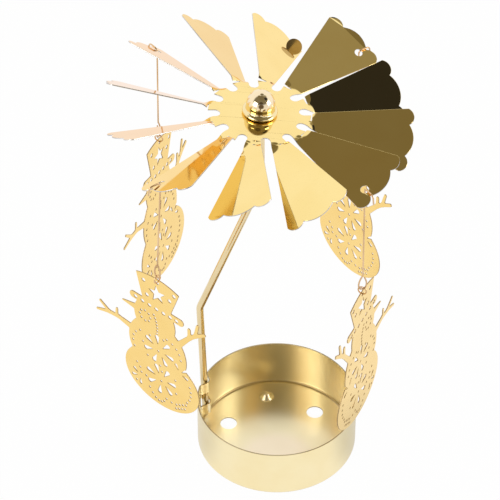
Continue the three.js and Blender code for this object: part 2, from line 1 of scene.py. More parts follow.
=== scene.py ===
"""Looks of the candle carousel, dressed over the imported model: a drawn tin cup, its bent wire stand, a
twelve-blade mirror-bright fan with a turned knob, and four pierced figures on copper-toned hangers.
Lengths are written in millimetres and become metres as each mesh is made. Z is up, X to the right.
"""

import math
from contextlib import contextmanager
from functools import partial, reduce

import bmesh
import bpy
import numpy as np
from mathutils import Matrix, Vector
from mathutils.geometry import tessellate_polygon


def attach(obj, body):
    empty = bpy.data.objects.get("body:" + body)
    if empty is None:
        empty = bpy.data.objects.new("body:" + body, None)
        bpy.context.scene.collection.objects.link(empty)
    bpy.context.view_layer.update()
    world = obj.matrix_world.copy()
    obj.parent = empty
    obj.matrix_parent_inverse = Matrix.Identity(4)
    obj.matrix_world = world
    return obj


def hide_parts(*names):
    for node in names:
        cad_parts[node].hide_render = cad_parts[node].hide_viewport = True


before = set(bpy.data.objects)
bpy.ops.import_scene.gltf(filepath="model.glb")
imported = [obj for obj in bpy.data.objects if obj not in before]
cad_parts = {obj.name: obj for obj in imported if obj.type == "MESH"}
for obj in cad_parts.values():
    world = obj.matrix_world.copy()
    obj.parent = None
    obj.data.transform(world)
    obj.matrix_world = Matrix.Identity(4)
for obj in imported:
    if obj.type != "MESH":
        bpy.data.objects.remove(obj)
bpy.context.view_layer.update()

MM = 0.001
TINY = 1e-9
FIT_GAP = 0.3

# Cup
CUP_RADIUS = 31.0
CUP_HEIGHT = 21.2
CUP_WALL = 0.5
CUP_CORNER = 1.6
CORNER_FACETS = 10
CUP_WELD = 0.002
WALL_FACETS = 170
VENT_COUNT = 3
VENT_REACH = 20.1
VENT_RADIUS = 3.3
VENT_FACETS = 48
PIP_REACH = 22.0
PIP_RADIUS = 2.3
PIP_HEIGHT = 2.7
PIP_FOOT_SHARE = 1.3
PIP_FLARE = 0.9
PIP_FACETS = 36
PIP_RINGS = 9
SLEEVE_TURN = math.radians(160.2)
SLEEVE_HALF_WIDTH = 4.3
SLEEVE_FACETS = 26
SLEEVE_FOOT = 3.9
SLIT_HEIGHT = 0.5
SLIT_CUT_SHARE = 1.2
STRAP_COUNT = 3
STRAP_ROWS = 5

# Stand
ROD_RADIUS = 1.4
ROD_SIDES = 28
ROD_END_INSET = 0.5
DOME_SHARE = 0.6
DOME_RINGS = 4
LEG_STATION_SHARES = (0.3, 0.6)
LEG_LEAN = math.radians(1.8)
LOW_BEND_HEIGHT = 59.7
HIGH_BEND_HEIGHT = 128.9
BEND_RADIUS = 6.0
BEND_FACETS = 14
PIVOT_OFFSET = 7.0
NEEDLE_HEIGHT = 166.0
NEEDLE_LENGTH = 5.0
NEEDLE_POINT_RADIUS = 0.25
NEEDLE_SHOULDER = 0.4
NEEDLE_FOOT_SHARE = 0.96

# Fan
SHEET = 0.4
EDGE_WEAR = 0.09
EDGE_WEAR_FACETS = 2
CUT_EDGE_DEGREES = 60
BEND_SPAN = 13.0
FAN_WELD = 0.004
HUB_PROBE_REACH = 8.0
BLADE_COUNT = 12
FIRST_BLADE_TURN = math.radians(-7.6)
SLOT_WIDTH = 3.5
SLOT_REACH = 14.2
SLOT_FACETS = 16
NECK_START = 16.2
NECK_END = 20.6
SLIT_REACH = 18.4
SLIT_WIDTH = 0.4
NECK_ROWS_BEFORE = 6
NECK_ROWS_AFTER = 8
NECK_COLUMNS = 6
CUSP_REACH = 53.1
CUSP_SIDE = 6.0
CORNER_SETBACK = 1.2
CORNER_REACH = CUSP_REACH - CORNER_SETBACK
SMALL_LOBE = 1.9
LARGE_LOBE = 2.2
SMALL_LOBE_FACETS = 12
LARGE_LOBE_FACETS = 22
HOLE_RADIUS = 1.5
HOLE_INSET = 3.2
HOLE_SIDE_INSET = 1.0
HOLE_REACH = CUSP_REACH - HOLE_INSET
HOLE_SIDE = CUSP_SIDE - HOLE_SIDE_INSET
HOLE_FACETS = 32
HUNG_BLADES = (2, 5, 8, 11)
BLADE_TWISTS = (29, 32, 21.4, 34, 35, 36, 35, 33, 32, 32, 32, 25)
BLADE_LIFTS = (-3, -2, 9.1, -4.5, 0, 2, 5, 1.5, -4, -1.5, -3, -2)
BLADE_SKEWS = (0, 0, -4.2, 0, 0, 0, 0, 0, 0, 0, 0, 0)
# Lobes that handling has bent: blade and lobe, and how far each step outward is turned, in degrees
BENT_LOBES = {(2, 1): (-6, -14, -22), (2, 2): (17, 0, -3)}
# A lobe that is folded up about the inner end of its own circle: blade and lobe, how far, in degrees
TURNED_LOBES = {(3, 0): -40}
TURNED_LOBE_SHARE = 0.88
TURNED_LOBE_INSET = 2.7
TURNED_LOBE_SHIFT = 0.9
TURNED_LOBE_FACETS = 44

# Knob
ROTOR_LEAN = math.radians(5.5)
SEAT_HEIGHT = 4.6
KNOB_RADIUS = 5.2
KNOB_SHOULDER = 4.1
BEAD_RADIUS = 6.4
BEAD_THICKNESS = 1.5
STEM_RADIUS = 3.3
RIVET_RADIUS = 4.4
RIVET_THICKNESS = 0.6
BORE_RADIUS = 2.6
BORE_END = 2.2
GROOVE_DEPTH = 0.28
GROOVE_GAP = 0.02
RIVET_EDGE = 0.3
KNOB_FACETS = 72
# Arcs of the turned profile: where they start and end, in degrees, and how many facets they have
RIVET_ARC = (-90, 90, 6)
BEAD_ARC = (-90, 68, 14)
DOME_ARC = (-6, 88, 26)

# Hangers and jump rings
WIRE_RADIUS = 0.3
WIRE_SIDES = 12
HOOK_HALF = 2.3
HOOK_BEND = 1.4
HOOK_TAIL = 3.4
HOOK_FLARE = 0.5
HOOK_LIFT = 0.4
HOOK_FACETS = 12
SHANK_DRIFT = 1.2
EYE_LENGTH = 6.7
EYE_HALF_WIDTH = 1.5
EYE_FACETS = 44
EYE_CLOSED_SHARE = 0.86
RING_RADIUS = 1.6
RING_WIRE = 0.25
RING_FACETS = 56
RING_SPLIT_SHARE = 0.985
RING_SPLIT_TURN = math.radians(200)
RING_DOME_RINGS = 2

# Each chain as it hangs at rest. In degrees: which way its ring faces, the figure's swing, the ring's tilt,
# the hanger's lean outward and sideways, and the turn of its eye against the ring. In millimetres: its shank
CHAINS = (
    (-51, -2.5, 0, -0.7, 1.3, 0, 37.3),
    (64.6, -4.5, -2.4, -1.2, 0.4, 0, 33.4),
    (-39, 0, 0, 0.3, -2.3, -10, 37.3),
    (243.5, 0, 0, -1.3, 0.7, -45, 39.9),
)

# Pierced figure: x to the right as it is looked at, z up, from the ring's wire in its hole
PLATE = 0.4
PLATE_EDGE = 0.05
CONTOUR_STEP = 0.13
CONTOUR_TOLERANCE = 0.006
CONTOUR_MARGIN = 1.0
CONTOUR_SIDE_SHARES = (0.5, 0.38)
THINNING_PASSES = 5
LEAST_POINTS = 6
SLOPE_STEP = 0.02
RIM_SLOPE = 0.9
CORNER_FILLET = 0.5
EYELET_RADIUS = 0.75
HAT_RISE = 1.4
HAT_TOP_HALF = 10.0
HAT_FOOT_HALF = 6.7
HAT_CROWN = 1.9
HAT_HEIGHT = 11.0
BRIM_HALF = 12.7
BRIM_RADIUS = 1.6
BRIM_DROP = 13.1
HAT_TURN = math.radians(-3.5)
HEAD = (-1.9, -19.4, 9.7)
TORSO = (-0.9, -33.0, 13.7)
BALL_PLACE = (0.8, -47.8)
BALL_HALVES = (17.7, 13.8)
STAR_POINTS = 5
STAR_RADIUS = 4.1
STAR_WAIST = 1.7
STAR_DROP = 6.0
STAR_TURN = math.radians(100)
PETAL_COUNT = 7
PETAL = (2.9, 7.2, 0.95)
PETAL_POINT_INSET = 0.15
PETAL_POINT_HALF = 0.12
ROSETTES = ((-0.42, -33.62, 95), (0.36, -48.21, 109))
SPRIG = (1.3, 4.2, 0.6)
SPRIGS = ((-9.9, -52.2, (137, 196, 274)), (9.56, -39.2, (118, 40, -21)))
FIGURE_HEIGHT = HAT_RISE - BALL_PLACE[1] + BALL_HALVES[1]
LIMB_SHARES = (
    (-0.17, -0.475, 0.026, -0.31, -0.445, 0.014),
    (-0.31, -0.445, 0.014, -0.385, -0.448, 0.014),
    (-0.385, -0.448, 0.013, -0.475, -0.475, 0.008),
    (-0.385, -0.445, 0.012, -0.45, -0.397, 0.008),
    (-0.325, -0.44, 0.01, -0.322, -0.39, 0.008),
    (0.14, -0.41, 0.022, 0.23, -0.297, 0.015),
    (0.23, -0.297, 0.015, 0.275, -0.256, 0.013),
    (0.275, -0.256, 0.013, 0.34, -0.212, 0.011),
    (0.23, -0.295, 0.013, 0.228, -0.235, 0.011),
    (0.273, -0.257, 0.012, 0.292, -0.17, 0.01),
    (-0.15, -0.285, 0.027, -0.272, -0.285, 0.004),
)
DOT_RADIUS = 0.48
# Rows of dots: where each starts and ends, how far its middle bows to the left of its way, and how many
DOT_ROWS = (
    (-2.2, -17.0, -0.9, -25.6, 0.7, 7),
    (-9.1, -28.5, -12.1, -38.1, -1.9, 5),
    (3.7, -25.9, 10.2, -32.7, 1.7, 5),
    (-11.2, -45.8, -9.2, -50.0, 0.6, 3),
    (-3.9, -57.4, 2.8, -56.6, -2.6, 6),
    (7.6, -56.6, 12.2, -54.2, 0, 4),
    (7.4, -58.7, 11.6, -56.6, 0, 4),
    (14.2, -43.9, 12.8, -52.5, 1.1, 5),
)
LONE_DOTS = (
    (2.1, -27.2), (-4.4, -28.4), (-7.9, -33.4), (-5.8, -39.2), (0.2, -41.1), (-0.5, -34.1), (0.5, -48.8),
    (0.9, -43.8), (7.3, -44.4), (7.6, -51.1), (-6.8, -50.3), (-5.2, -55.2), (-11.6, -55.2), (5.2, -57.0),
)
# Holes of the hat and its brim, in the hat's own frame
BRIM_DOTS = (
    (-9.9, -13.3), (-6.6, -13.4), (-3.3, -13.5), (0, -13.5), (3.3, -13.5), (6.4, -13.4), (9.4, -13.3),
)
BRIM_DOT_HALVES = (0.84, 0.76)
BIG_DOTS = ((-6.4, -2.7), (-4.6, -9.0), (7.8, -2.0), (5.9, -5.5))
BIG_DOT_RADIUS = 0.82
EYE_PLACE = (-6.4, -19.7)
EYE_REACH = 2.5
EYE_DOTS = 8

# The fan's face, its cut edges and its folded lobe, whose metal is darkened with a painted reflection
FAN_METALS = ("sheet_gold", "cut_edge", "painted_dark_reflection")
# On which side of its skin a sheet gets its thickness
INWARD = -1
EVENLY = 0
# Edges sharper than this stay sharp, in degrees
SHARP = dict(cup=38, rod=50, fan=20, knob=50, figure=30, wire=60)


# Mesh making
@contextmanager
def edited(mesh):
    """Opens the mesh for editing and writes it back afterwards."""
    work = bmesh.new()
    work.from_mesh(mesh)
    yield work
    work.to_mesh(mesh)
    work.free()


def shade(mesh, sharp_degrees):
    """Smooth faces, with every edge sharper than the given angle left sharp."""
    with edited(mesh) as work:
        for face in work.faces:
            face.smooth = True
        for edge in work.edges:
            if len(edge.link_faces) == 2:
                edge.smooth = edge.calc_face_angle() < math.radians(sharp_degrees)


def make_mesh(name, places, faces, weld=0.0):
    mesh = bpy.data.meshes.new(name)
    mesh.from_pydata([tuple(MM * c for c in place) for place in places], [], faces)
    with edited(mesh) as work:
        if weld:
            bmesh.ops.remove_doubles(work, verts=work.verts, dist=weld * MM)
        bmesh.ops.recalc_face_normals(work, faces=work.faces)
    return mesh


def put(name, data):
    placed = bpy.data.objects.new(name, data)
    bpy.context.scene.collection.objects.link(placed)
    return placed


def in_metres(matrix):
    """A placement worked out in millimetres, as one in metres."""
    placed = matrix.copy()
    placed.translation = matrix.translation * MM
    return placed


def make_piece(name, mesh, materials=(), matrix=None):
    """A piece of the named metals. Its placement, in millimetres, is worked into its mesh."""
    if matrix is not None:
        mesh.transform(in_metres(matrix))
    for material in materials:
        mesh.materials.append(metals[material])
    return put(name, mesh)


def plain_piece(name, skin, sharp_degrees, material, matrix=None):
    """A closed piece of one metal, from its places and faces."""
    mesh = make_mesh(name, *skin)
    shade(mesh, sharp_degrees)
    return make_piece(name, mesh, (material,), matrix)


def settle(piece):
    """The piece keeps the shape that its modifiers give it."""
    bpy.context.view_layer.update()
    depsgraph = bpy.context.evaluated_depsgraph_get()
    mesh = bpy.data.meshes.new_from_object(piece.evaluated_get(depsgraph))
    piece.modifiers.clear()
    piece.data = mesh
    return mesh


def even_out(piece):
    """Large flat faces keep their own shading up to the bends beside them."""
    normals = piece.modifiers.new("normals", "WEIGHTED_NORMAL")
    normals.keep_sharp = True
    settle(piece)


def grid_faces(rows, columns, start=0, wrap=False):
    faces = []
    for row in range(rows - 1):
        for column in range(columns if wrap else columns - 1):
            a = start + row * columns + column
            b = start + row * columns + (column + 1) % columns
            faces.append((a, b, b + columns, a + columns))
    return faces


def closed_skin(rings, start, end):
    """Rings of points joined one after the other and closed to a point at both ends."""
    sides = len(rings[0])
    places = [start, *(point for ring in rings for point in ring), end]
    faces = grid_faces(len(rings), sides, start=1, wrap=True)
    last = len(places) - 1
    for k in range(sides):
        ahead = (k + 1) % sides
        faces.append((0, 1 + ahead, 1 + k))
        faces.append((last, last - sides + k, last - sides + ahead))
    return places, faces


def tube(stations, radii, sides, dome_rings=DOME_RINGS):
    """A round bar swept along the stations, with domed ends."""
    stations = [Vector(s) for s in stations]
    if not isinstance(radii, (list, tuple)):
        radii = [radii] * len(stations)
    neighbours = zip(stations[:1] + stations, stations[1:] + stations[-1:])
    ways = [(after - before).normalized() for before, after in neighbours]
    side = ways[0].orthogonal().normalized()
    rings = []
    for i, way in enumerate(ways):
        side = (side - way * side.dot(way)).normalized()
        rings.append((stations[i], radii[i], side.copy(), way))
    caps = []
    for end, sign in ((0, -1), (-1, 1)):
        centre, radius, across, way = rings[end]
        dome = []
        tip = way * sign * radius * DOME_SHARE
        for turn in spaced(0, math.pi / 2, dome_rings)[1:-1]:
            dome.append((centre + tip * math.sin(turn), radius * math.cos(turn), across, way))
        caps.append((dome, centre + tip))
    rings = caps[0][0][::-1] + rings + caps[1][0]
    skin = []
    for centre, radius, across, way in rings:
        up = way.cross(across)
        skin.append([centre + radius * (across * math.cos(turn) + up * math.sin(turn))
                     for turn in full_turn(sides)])
    return closed_skin(skin, caps[0][1], caps[1][1])


def bend(before, corner, after, radius, facets):
    """The arc that rounds the corner between two straight runs of a wire."""
    back = (before - corner).normalized()
    ahead = (after - corner).normalized()
    half = back.angle(ahead) / 2
    centre = corner + (back + ahead).normalized() * (radius / math.sin(half))
    start = corner + back * (radius / math.tan(half)) - centre
    axis = -back.cross(ahead).normalized()
    sweep = math.pi - 2 * half
    return [Matrix.Rotation(turn, 3, axis) @ start + centre for turn in spaced(0, sweep, facets)]


def lathe(profile, facets):
    """A turned shape; the profile starts and ends on the axis."""
    rings = [[(*polar(r, turn), z) for turn in full_turn(facets)] for r, z in profile[1:-1]]
    return closed_skin(rings, (0, 0, profile[0][1]), (0, 0, profile[-1][1]))


def spaced(start, end, steps):
    return [start + (end - start) * i / steps for i in range(steps + 1)]


def full_turn(steps):
    return spaced(0, 2 * math.pi, steps)[:-1]


def polar(radius, turn):
    return radius * math.cos(turn), radius * math.sin(turn)


def on_circle(x, y, radius, turns):
    return [(x + radius * math.cos(turn), y + radius * math.sin(turn)) for turn in turns]


def arc(x, y, radius, start, end, facets):
    return on_circle(x, y, radius, [math.radians(turn) for turn in spaced(start, end, facets)])


def circle(x, y, radius, facets):
    return on_circle(x, y, radius, full_turn(facets))


def fill(outline, holes=()):
    """Triangles over a flat outline with holes, as numbers into all its points."""
    loops = [[Vector((x, y, 0)) for x, y in loop] for loop in (outline, *holes)]
    return tessellate_polygon(loops)


# Materials: plated metals, three cut edges, the figures' one darkened with painted shade, and a folded
# lobe's painted dark reflection. Each has its name, its colour and that of its clouds, its roughness and how
# far that spreads, its grain and the grain's depth, and what else it has.
# Depths are in millimetres
METALS = (
    ("sheet_gold", (0.95, 0.75, 0.33), (0.93, 0.72, 0.30), 0.05, 0.015, 1400, 0.001,
     dict(wave=0.012, edge_tint=(1.0, 0.86, 0.84))),
    ("tin_gold", (0.965, 0.835, 0.515), (0.945, 0.80, 0.465), 0.30, 0.02, 1800, 0.004,
     dict(stretch=(1, 1, 12), coat=0.25)),
    ("rod_gold", (0.84, 0.70, 0.44), (0.78, 0.63, 0.37), 0.13, 0.04, 1500, 0.003,
     dict(stretch=(1, 1, 0.15))),
    ("knob_gold", (0.935, 0.785, 0.55), (0.91, 0.75, 0.50), 0.05, 0.02, 1600, 0.002,
     dict(stretch=(0.3, 0.3, 1))),
    ("figure_gold", (0.975, 0.70, 0.26), (0.95, 0.66, 0.225), 0.15, 0.04, 2200, 0.004, {}),
    # Painted shade: the figures' edges and bevels take this darker copy of their gold
    ("figure_shaded_edge", (0.52, 0.36, 0.17), (0.38, 0.26, 0.12), 0.45, 0.08, 3000, 0.008, {}),
    ("copper_wire", (0.80, 0.56, 0.33), (0.60, 0.38, 0.19), 0.22, 0.06, 2400, 0.004,
     dict(stretch=(1, 1, 0.2))),
    ("cut_edge", (0.72, 0.69, 0.68), (0.46, 0.43, 0.42), 0.30, 0.08, 3000, 0.01, dict(stretch=(1, 1, 0.3))),
    # Painted dark reflection: the folded lobe's dark colour stands in for what it mirrors
    ("painted_dark_reflection", (0.44, 0.32, 0.16), (0.30, 0.20, 0.08), 0.12, 0.04, 1400, 0.002, dict(wave=0.03)),
    ("tin_edge", (0.52, 0.42, 0.25), (0.36, 0.28, 0.15), 0.34, 0.08, 3000, 0.01, dict(stretch=(1, 1, 0.3))),
)
# Noises of every metal, and between which of their values each one takes hold
CLOUD = dict(scale=70, detail=4)
CLOUD_EDGES = (0.3, 0.7)
SMUDGE = dict(scale=160, detail=6, distortion=0.6)
SMUDGE_EDGES = (0.25, 0.75)
SCRATCH = dict(scale=900, detail=3, stretch=(0.12, 1, 1), distortion=0.3)
SCRATCH_EDGES = (0.55, 0.75)
SCRATCH_SHARE = 0.35
GRAIN_DETAIL = 4
GRAIN_STRENGTH = 0.5
WAVE = dict(scale=45, detail=1)
WAVE_STRENGTH = 0.6
COAT_ROUGHNESS = 0.08

# Colours by place, with where they are full and where they have faded out
# Painted reflection: the knob's foot and lower dome more golden, as if mirroring the gold fan
KNOB_FOOT_PAINTED_REFLECTION = (4.2, 6.4, (0.90, 0.75, 0.42))
CUP_INSIDE_TINT = (CUP_RADIUS - 0.8 * CUP_WALL, CUP_RADIUS - 0.5 * CUP_WALL, (0.965, 0.865, 0.59))
# Painted light: a paler pool on the cup's floor towards the front
NEAR_FLOOR = (0, -13.0)
NEAR_FLOOR_PAINTED_LIGHT = (10.0, 17.8, (1.0, 0.87, 0.66))
# Painted shade: a dark line in the inner corner between the cup's floor and wall
CREASE_INSET = 0.3
CREASE_PAINTED_SHADE = (0.2, 0.9, (0.42, 0.31, 0.14))


class Nodes:
    """Adds the nodes of one tree. An input takes a plain value or the output that feeds it."""

    def __init__(self, owner):
        owner.use_nodes = True
        self.tree = owner.node_tree

    def feed(self, node, inputs):
        for name, value in inputs.items():
            target = node.inputs[name]
            if isinstance(value, bpy.types.NodeSocket):
                self.tree.links.new(value, target)
            else:
                target.default_value = (*value, 1) if target.type == "RGBA" else value

    def add(self, kind, inputs, **settings):
        made = self.tree.nodes.new("ShaderNode" + kind)
        for name, value in settings.items():
            setattr(made, name, value)
        self.feed(made, inputs)
        return made

    def place(self, kind="Object"):
        return self.add("TexCoord", {}).outputs[kind]

    def noise(self, scale, detail, stretch=(1, 1, 1), distortion=0.0):
        mapping = self.add("Mapping", {"Vector": self.place(), "Scale": stretch})
        made = self.add("TexNoise", {"Vector": mapping.outputs["Vector"], "Scale": scale,
                                     "Detail": detail, "Distortion": distortion})
        return made.outputs["Fac"]

    def fade(self, value, start, end, low=0.0, high=1.0):
        """From low to high while the value goes from start to end."""
        made = self.add("MapRange", {"Value": value, "From Min": start, "From Max": end,
                                     "To Min": low, "To Max": high}, interpolation_type="SMOOTHSTEP")
        return made.outputs["Result"]

    def blend(self, share, first, second):
        return self.add("Mix", {"Factor": share, 6: first, 7: second}, data_type="RGBA").outputs[2]

    def number(self, operation, *values):
        return self.add("Math", dict(enumerate(values)), operation=operation).outputs[0]

    def vector(self, operation, first, second, output="Vector"):
        return self.add("VectorMath", {0: first, 1: second}, operation=operation).outputs[output]

    def bump(self, height, strength, distance, below):
        made = self.add("Bump", {"Height": height, "Strength": strength, "Distance": distance, **below})
        return made.outputs["Normal"]


def metal(name, colour, deep, roughness, spread, grain, grain_depth,
          stretch=(1, 1, 1), wave=0.0, coat=0.0, edge_tint=(1, 1, 1)):
    """A plated metal: cloudy colour, smudges in its gloss, a fine grain and a slow waviness."""
    material = bpy.data.materials.new(name)
    nodes = Nodes(material)
    cloud = nodes.fade(nodes.noise(**CLOUD), *CLOUD_EDGES)
    scratch = nodes.fade(nodes.noise(**SCRATCH), *SCRATCH_EDGES, high=SCRATCH_SHARE)
    smudge = nodes.fade(nodes.noise(**SMUDGE), *SMUDGE_EDGES, roughness - spread, roughness + spread)
    normal = nodes.bump(nodes.noise(grain, GRAIN_DETAIL, stretch), GRAIN_STRENGTH, grain_depth * MM, {})
    if wave:
        normal = nodes.bump(nodes.noise(**WAVE), WAVE_STRENGTH, wave * MM, {"Normal": normal})
    nodes.feed(nodes.tree.nodes["Principled BSDF"], {
        "Metallic": 1.0,
        "Base Color": nodes.blend(scratch, nodes.blend(cloud, deep, colour), deep),
        "Roughness": smudge,
        "Normal": normal,
        "Specular Tint": edge_tint,
        "Coat Weight": coat,
        "Coat Roughness": COAT_ROUGHNESS,
    })
    return material


def tint(nodes, value, start, end, colour):
    """Gives a metal another colour where the value is below the start, fading out towards the end."""
    shader = nodes.tree.nodes["Principled BSDF"]
    own = shader.inputs["Base Color"].links[0].from_socket
    nodes.feed(shader, {"Base Color": nodes.blend(nodes.fade(value, start * MM, end * MM), colour, own)})


def tint_knob(nodes):
    height = nodes.add("SeparateXYZ", {0: nodes.place()}).outputs["Z"]
    # Painted reflection of the gold fan on the knob's lower part
    tint(nodes, height, *KNOB_FOOT_PAINTED_REFLECTION)


def tint_cup(nodes):
    """The inside is a little warmer, the near floor paler with a painted pool of light, and the corner
    between them dark with painted shade.
    """
    place = nodes.place()
    apart = nodes.add("SeparateXYZ", {0: place}).outputs
    flat = nodes.add("CombineXYZ", {"X": apart["X"], "Y": apart["Y"]}).outputs[0]
    around = nodes.vector("DISTANCE", flat, (0, 0, 0), "Value")
    tint(nodes, around, *CUP_INSIDE_TINT)
    # Painted light on the near floor
    near_floor = nodes.vector("DISTANCE", place, Vector((*NEAR_FLOOR, 0)) * MM, "Value")
    tint(nodes, near_floor, *NEAR_FLOOR_PAINTED_LIGHT)
    # Painted shade in the corner between floor and wall
    section = nodes.add("CombineXYZ", {"X": around, "Y": apart["Z"]}).outputs[0]
    corner = Vector((CUP_RADIUS - CUP_WALL - CREASE_INSET, CUP_WALL + CREASE_INSET, 0)) * MM
    tint(nodes, nodes.vector("DISTANCE", section, corner, "Value"), *CREASE_PAINTED_SHADE)


metals = {name: metal(name, *values, **others) for name, *values, others in METALS}
tint_knob(Nodes(metals["knob_gold"]))
tint_cup(Nodes(metals["tin_gold"]))


# Cup
strap_pitch = (CUP_HEIGHT - SLEEVE_FOOT) / STRAP_COUNT
strap_levels = [SLEEVE_FOOT + i * strap_pitch for i in range(STRAP_COUNT)]
leg_reach = CUP_RADIUS - 2 * CUP_WALL
sleeve_height = (SLEEVE_FOOT + CUP_HEIGHT) / 2


def rod_reach(height):
    return leg_reach + (height - sleeve_height) * math.tan(LEG_LEAN)


def strap_press(strap):
    """How far a strap is pressed out of the round wall, so that the wire just passes it."""
    middle = rod_reach(strap_levels[strap] + strap_pitch / 2)
    clear = ROD_RADIUS + FIT_GAP + strap_pitch / 2 * math.tan(LEG_LEAN)
    if strap % 2 == 0:
        return middle - clear - CUP_RADIUS
    return middle + clear - (CUP_RADIUS - CUP_WALL)


def cup_skin():
    """The cup's outer surface. The slits between the straps are left open, and the air holes too."""
    half_turn = SLEEVE_HALF_WIDTH / CUP_RADIUS
    start, end = SLEEVE_TURN - half_turn, SLEEVE_TURN + half_turn
    turns = spaced(start, end, SLEEVE_FACETS)[:-1] + spaced(end, start + 2 * math.pi, WALL_FACETS)[:-1]
    shares = [(1 - math.cos(turn)) / 2 for turn in full_turn(SLEEVE_FACETS)] + [0.0] * WALL_FACETS
    # Each row: its radius and height, how far the sleeve's middle is pressed, and if a slit opens above it
    rows = [(r, z, 0.0, False) for r, z in
            arc(CUP_RADIUS - CUP_CORNER, CUP_CORNER, CUP_CORNER, -90, 0, CORNER_FACETS)]
    tops = strap_levels[1:] + [CUP_HEIGHT]
    cut = SLIT_HEIGHT * SLIT_CUT_SHARE / 2
    press = 0.0
    for strap, level in enumerate(strap_levels):
        middle = level + SLIT_HEIGHT / 2
        rows.append((CUP_RADIUS, middle - cut, press, True))
        press = strap_press(strap)
        end = tops[strap] if strap == STRAP_COUNT - 1 else tops[strap] + SLIT_HEIGHT / 2 - cut
        heights = spaced(middle + cut, end, STRAP_ROWS)[:-1]
        rows += [(CUP_RADIUS, height, press, False) for height in heights]
    rows.append((CUP_RADIUS, CUP_HEIGHT, press, False))
    columns = len(turns)
    places = []
    for r, z, pressed, _ in rows:
        for turn, share in zip(turns, shares):
            places.append((*polar(r + pressed * share, turn), z))
    faces = []
    for face in grid_faces(len(rows), columns, wrap=True):
        row, column = divmod(face[0], columns)
        if column >= SLEEVE_FACETS or not rows[row][3]:
            faces.append(face)
    outline = [places[i][:2] for i in range(columns)]
    vent_turns = [SLEEVE_TURN + turn for turn in full_turn(VENT_COUNT)]
    holes = [circle(*polar(VENT_REACH, turn), VENT_RADIUS, VENT_FACETS) for turn in vent_turns]
    pip_top = PIP_HEIGHT - CUP_WALL / 2
    for turn in vent_turns:
        x, y = polar(PIP_REACH, turn + math.pi / VENT_COUNT)
        foot = PIP_RADIUS * PIP_FOOT_SHARE
        holes.append(circle(x, y, foot, PIP_FACETS))
        start = len(places)
        for ring in range(PIP_RINGS):
            share = 1 - ring / PIP_RINGS
            height = pip_top * ((1 + math.cos(math.pi * share)) / 2) ** PIP_FLARE
            places += [(px, py, height) for px, py in circle(x, y, foot * share, PIP_FACETS)]
        places.append((x, y, pip_top))
        faces += grid_faces(PIP_RINGS, PIP_FACETS, start, wrap=True)
        tip = len(places) - 1
        last = start + (PIP_RINGS - 1) * PIP_FACETS
        faces += [(last + k, last + (k + 1) % PIP_FACETS, tip) for k in range(PIP_FACETS)]
    start = len(places)
    for loop in (outline, *holes):
        places += [(x, y, 0.0) for x, y in loop]
    faces += [tuple(start + corner for corner in face) for face in fill(outline, holes)]
    return places, faces


def thicken(piece, thickness, offset):
    """Gives a skin its thickness, with the second of its metals on the cut edges."""
    solid = piece.modifiers.new("thickness", "SOLIDIFY")
    solid.thickness = thickness * MM
    solid.offset = offset
    solid.use_even_offset = True
    solid.material_offset_rim = 1


def wear_edges(piece, spared, reach):
    """Rounds the cut edges of a sheet a little, but for those near the spared place, where it is bent."""
    with edited(piece.data) as work:
        worn = work.edges.layers.float.new("bevel_weight_edge")
        for edge in work.edges:
            near = min((vert.co - spared).length for vert in edge.verts)
            cut = len(edge.link_faces) == 2 and edge.calc_face_angle() > math.radians(CUT_EDGE_DEGREES)
            if cut and near > reach:
                edge[worn] = 1.0
    rounding = piece.modifiers.new("worn edges", "BEVEL")
    rounding.limit_method = "WEIGHT"
    rounding.width = EDGE_WEAR * MM
    rounding.segments = EDGE_WEAR_FACETS
    rounding.use_clamp_overlap = False


def face_down(mesh, place, outward):
    """Turns the mesh over if its face nearest to the place doesn't look outward."""
    nearest = min(mesh.polygons, key=lambda face: (face.center - place).length)
    if nearest.normal.dot(outward) < 0:
        mesh.flip_normals()


places, faces = cup_skin()
cup_mesh = make_mesh("tin_cup", places, faces, weld=CUP_WELD)
face_down(cup_mesh, Vector((CUP_RADIUS * MM, 0, CUP_HEIGHT * MM / 2)), Vector((1, 0, 0)))
cup = make_piece("tin_cup", cup_mesh, ("tin_gold", "tin_edge"))
thicken(cup, CUP_WALL, INWARD)
shade(settle(cup), SHARP["cup"])
even_out(cup)
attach(cup, "cup")
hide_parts("cup")


# Stand
def on_leg(reach, height):
    return Vector((*polar(reach, SLEEVE_TURN), height))


foot = on_leg(rod_reach(SLEEVE_FOOT + FIT_GAP), SLEEVE_FOOT + FIT_GAP)
low = on_leg(rod_reach(LOW_BEND_HEIGHT), LOW_BEND_HEIGHT)
high = on_leg(PIVOT_OFFSET, HIGH_BEND_HEIGHT)
needle_foot = on_leg(PIVOT_OFFSET, NEEDLE_HEIGHT - NEEDLE_LENGTH)
needle_tip = on_leg(PIVOT_OFFSET, NEEDLE_HEIGHT - NEEDLE_POINT_RADIUS * DOME_SHARE)
stations = [foot + Vector((0, 0, ROD_END_INSET))] + [foot.lerp(low, share) for share in LEG_STATION_SHARES]
stations += bend(foot, low, high, BEND_RADIUS, BEND_FACETS)
stations += bend(low, high, needle_foot, BEND_RADIUS, BEND_FACETS)
straight = len(stations)
stations += [needle_foot - Vector((0, 0, NEEDLE_SHOULDER)), needle_foot, needle_tip]
radii = [ROD_RADIUS] * (straight + 1) + [ROD_RADIUS * NEEDLE_FOOT_SHARE, NEEDLE_POINT_RADIUS]
rod = plain_piece("bent_stand", tube(stations, radii, ROD_SIDES), SHARP["rod"], "rod_gold")
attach(rod, "stand")
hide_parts("stand_rod")

# Fan and knob, in the fan's own frame
pitch = 2 * math.pi / BLADE_COUNT
rotor_place = Matrix.Translation(on_leg(PIVOT_OFFSET, NEEDLE_HEIGHT))
fan_in_rotor = Matrix.Rotation(ROTOR_LEAN, 4, "Y") @ Matrix.Translation((0, 0, -SEAT_HEIGHT))
fan_place = rotor_place @ fan_in_rotor


def edge_at(reach):
    return reach * math.tan(pitch / 2) - SLOT_WIDTH / 2 / math.cos(pitch / 2)


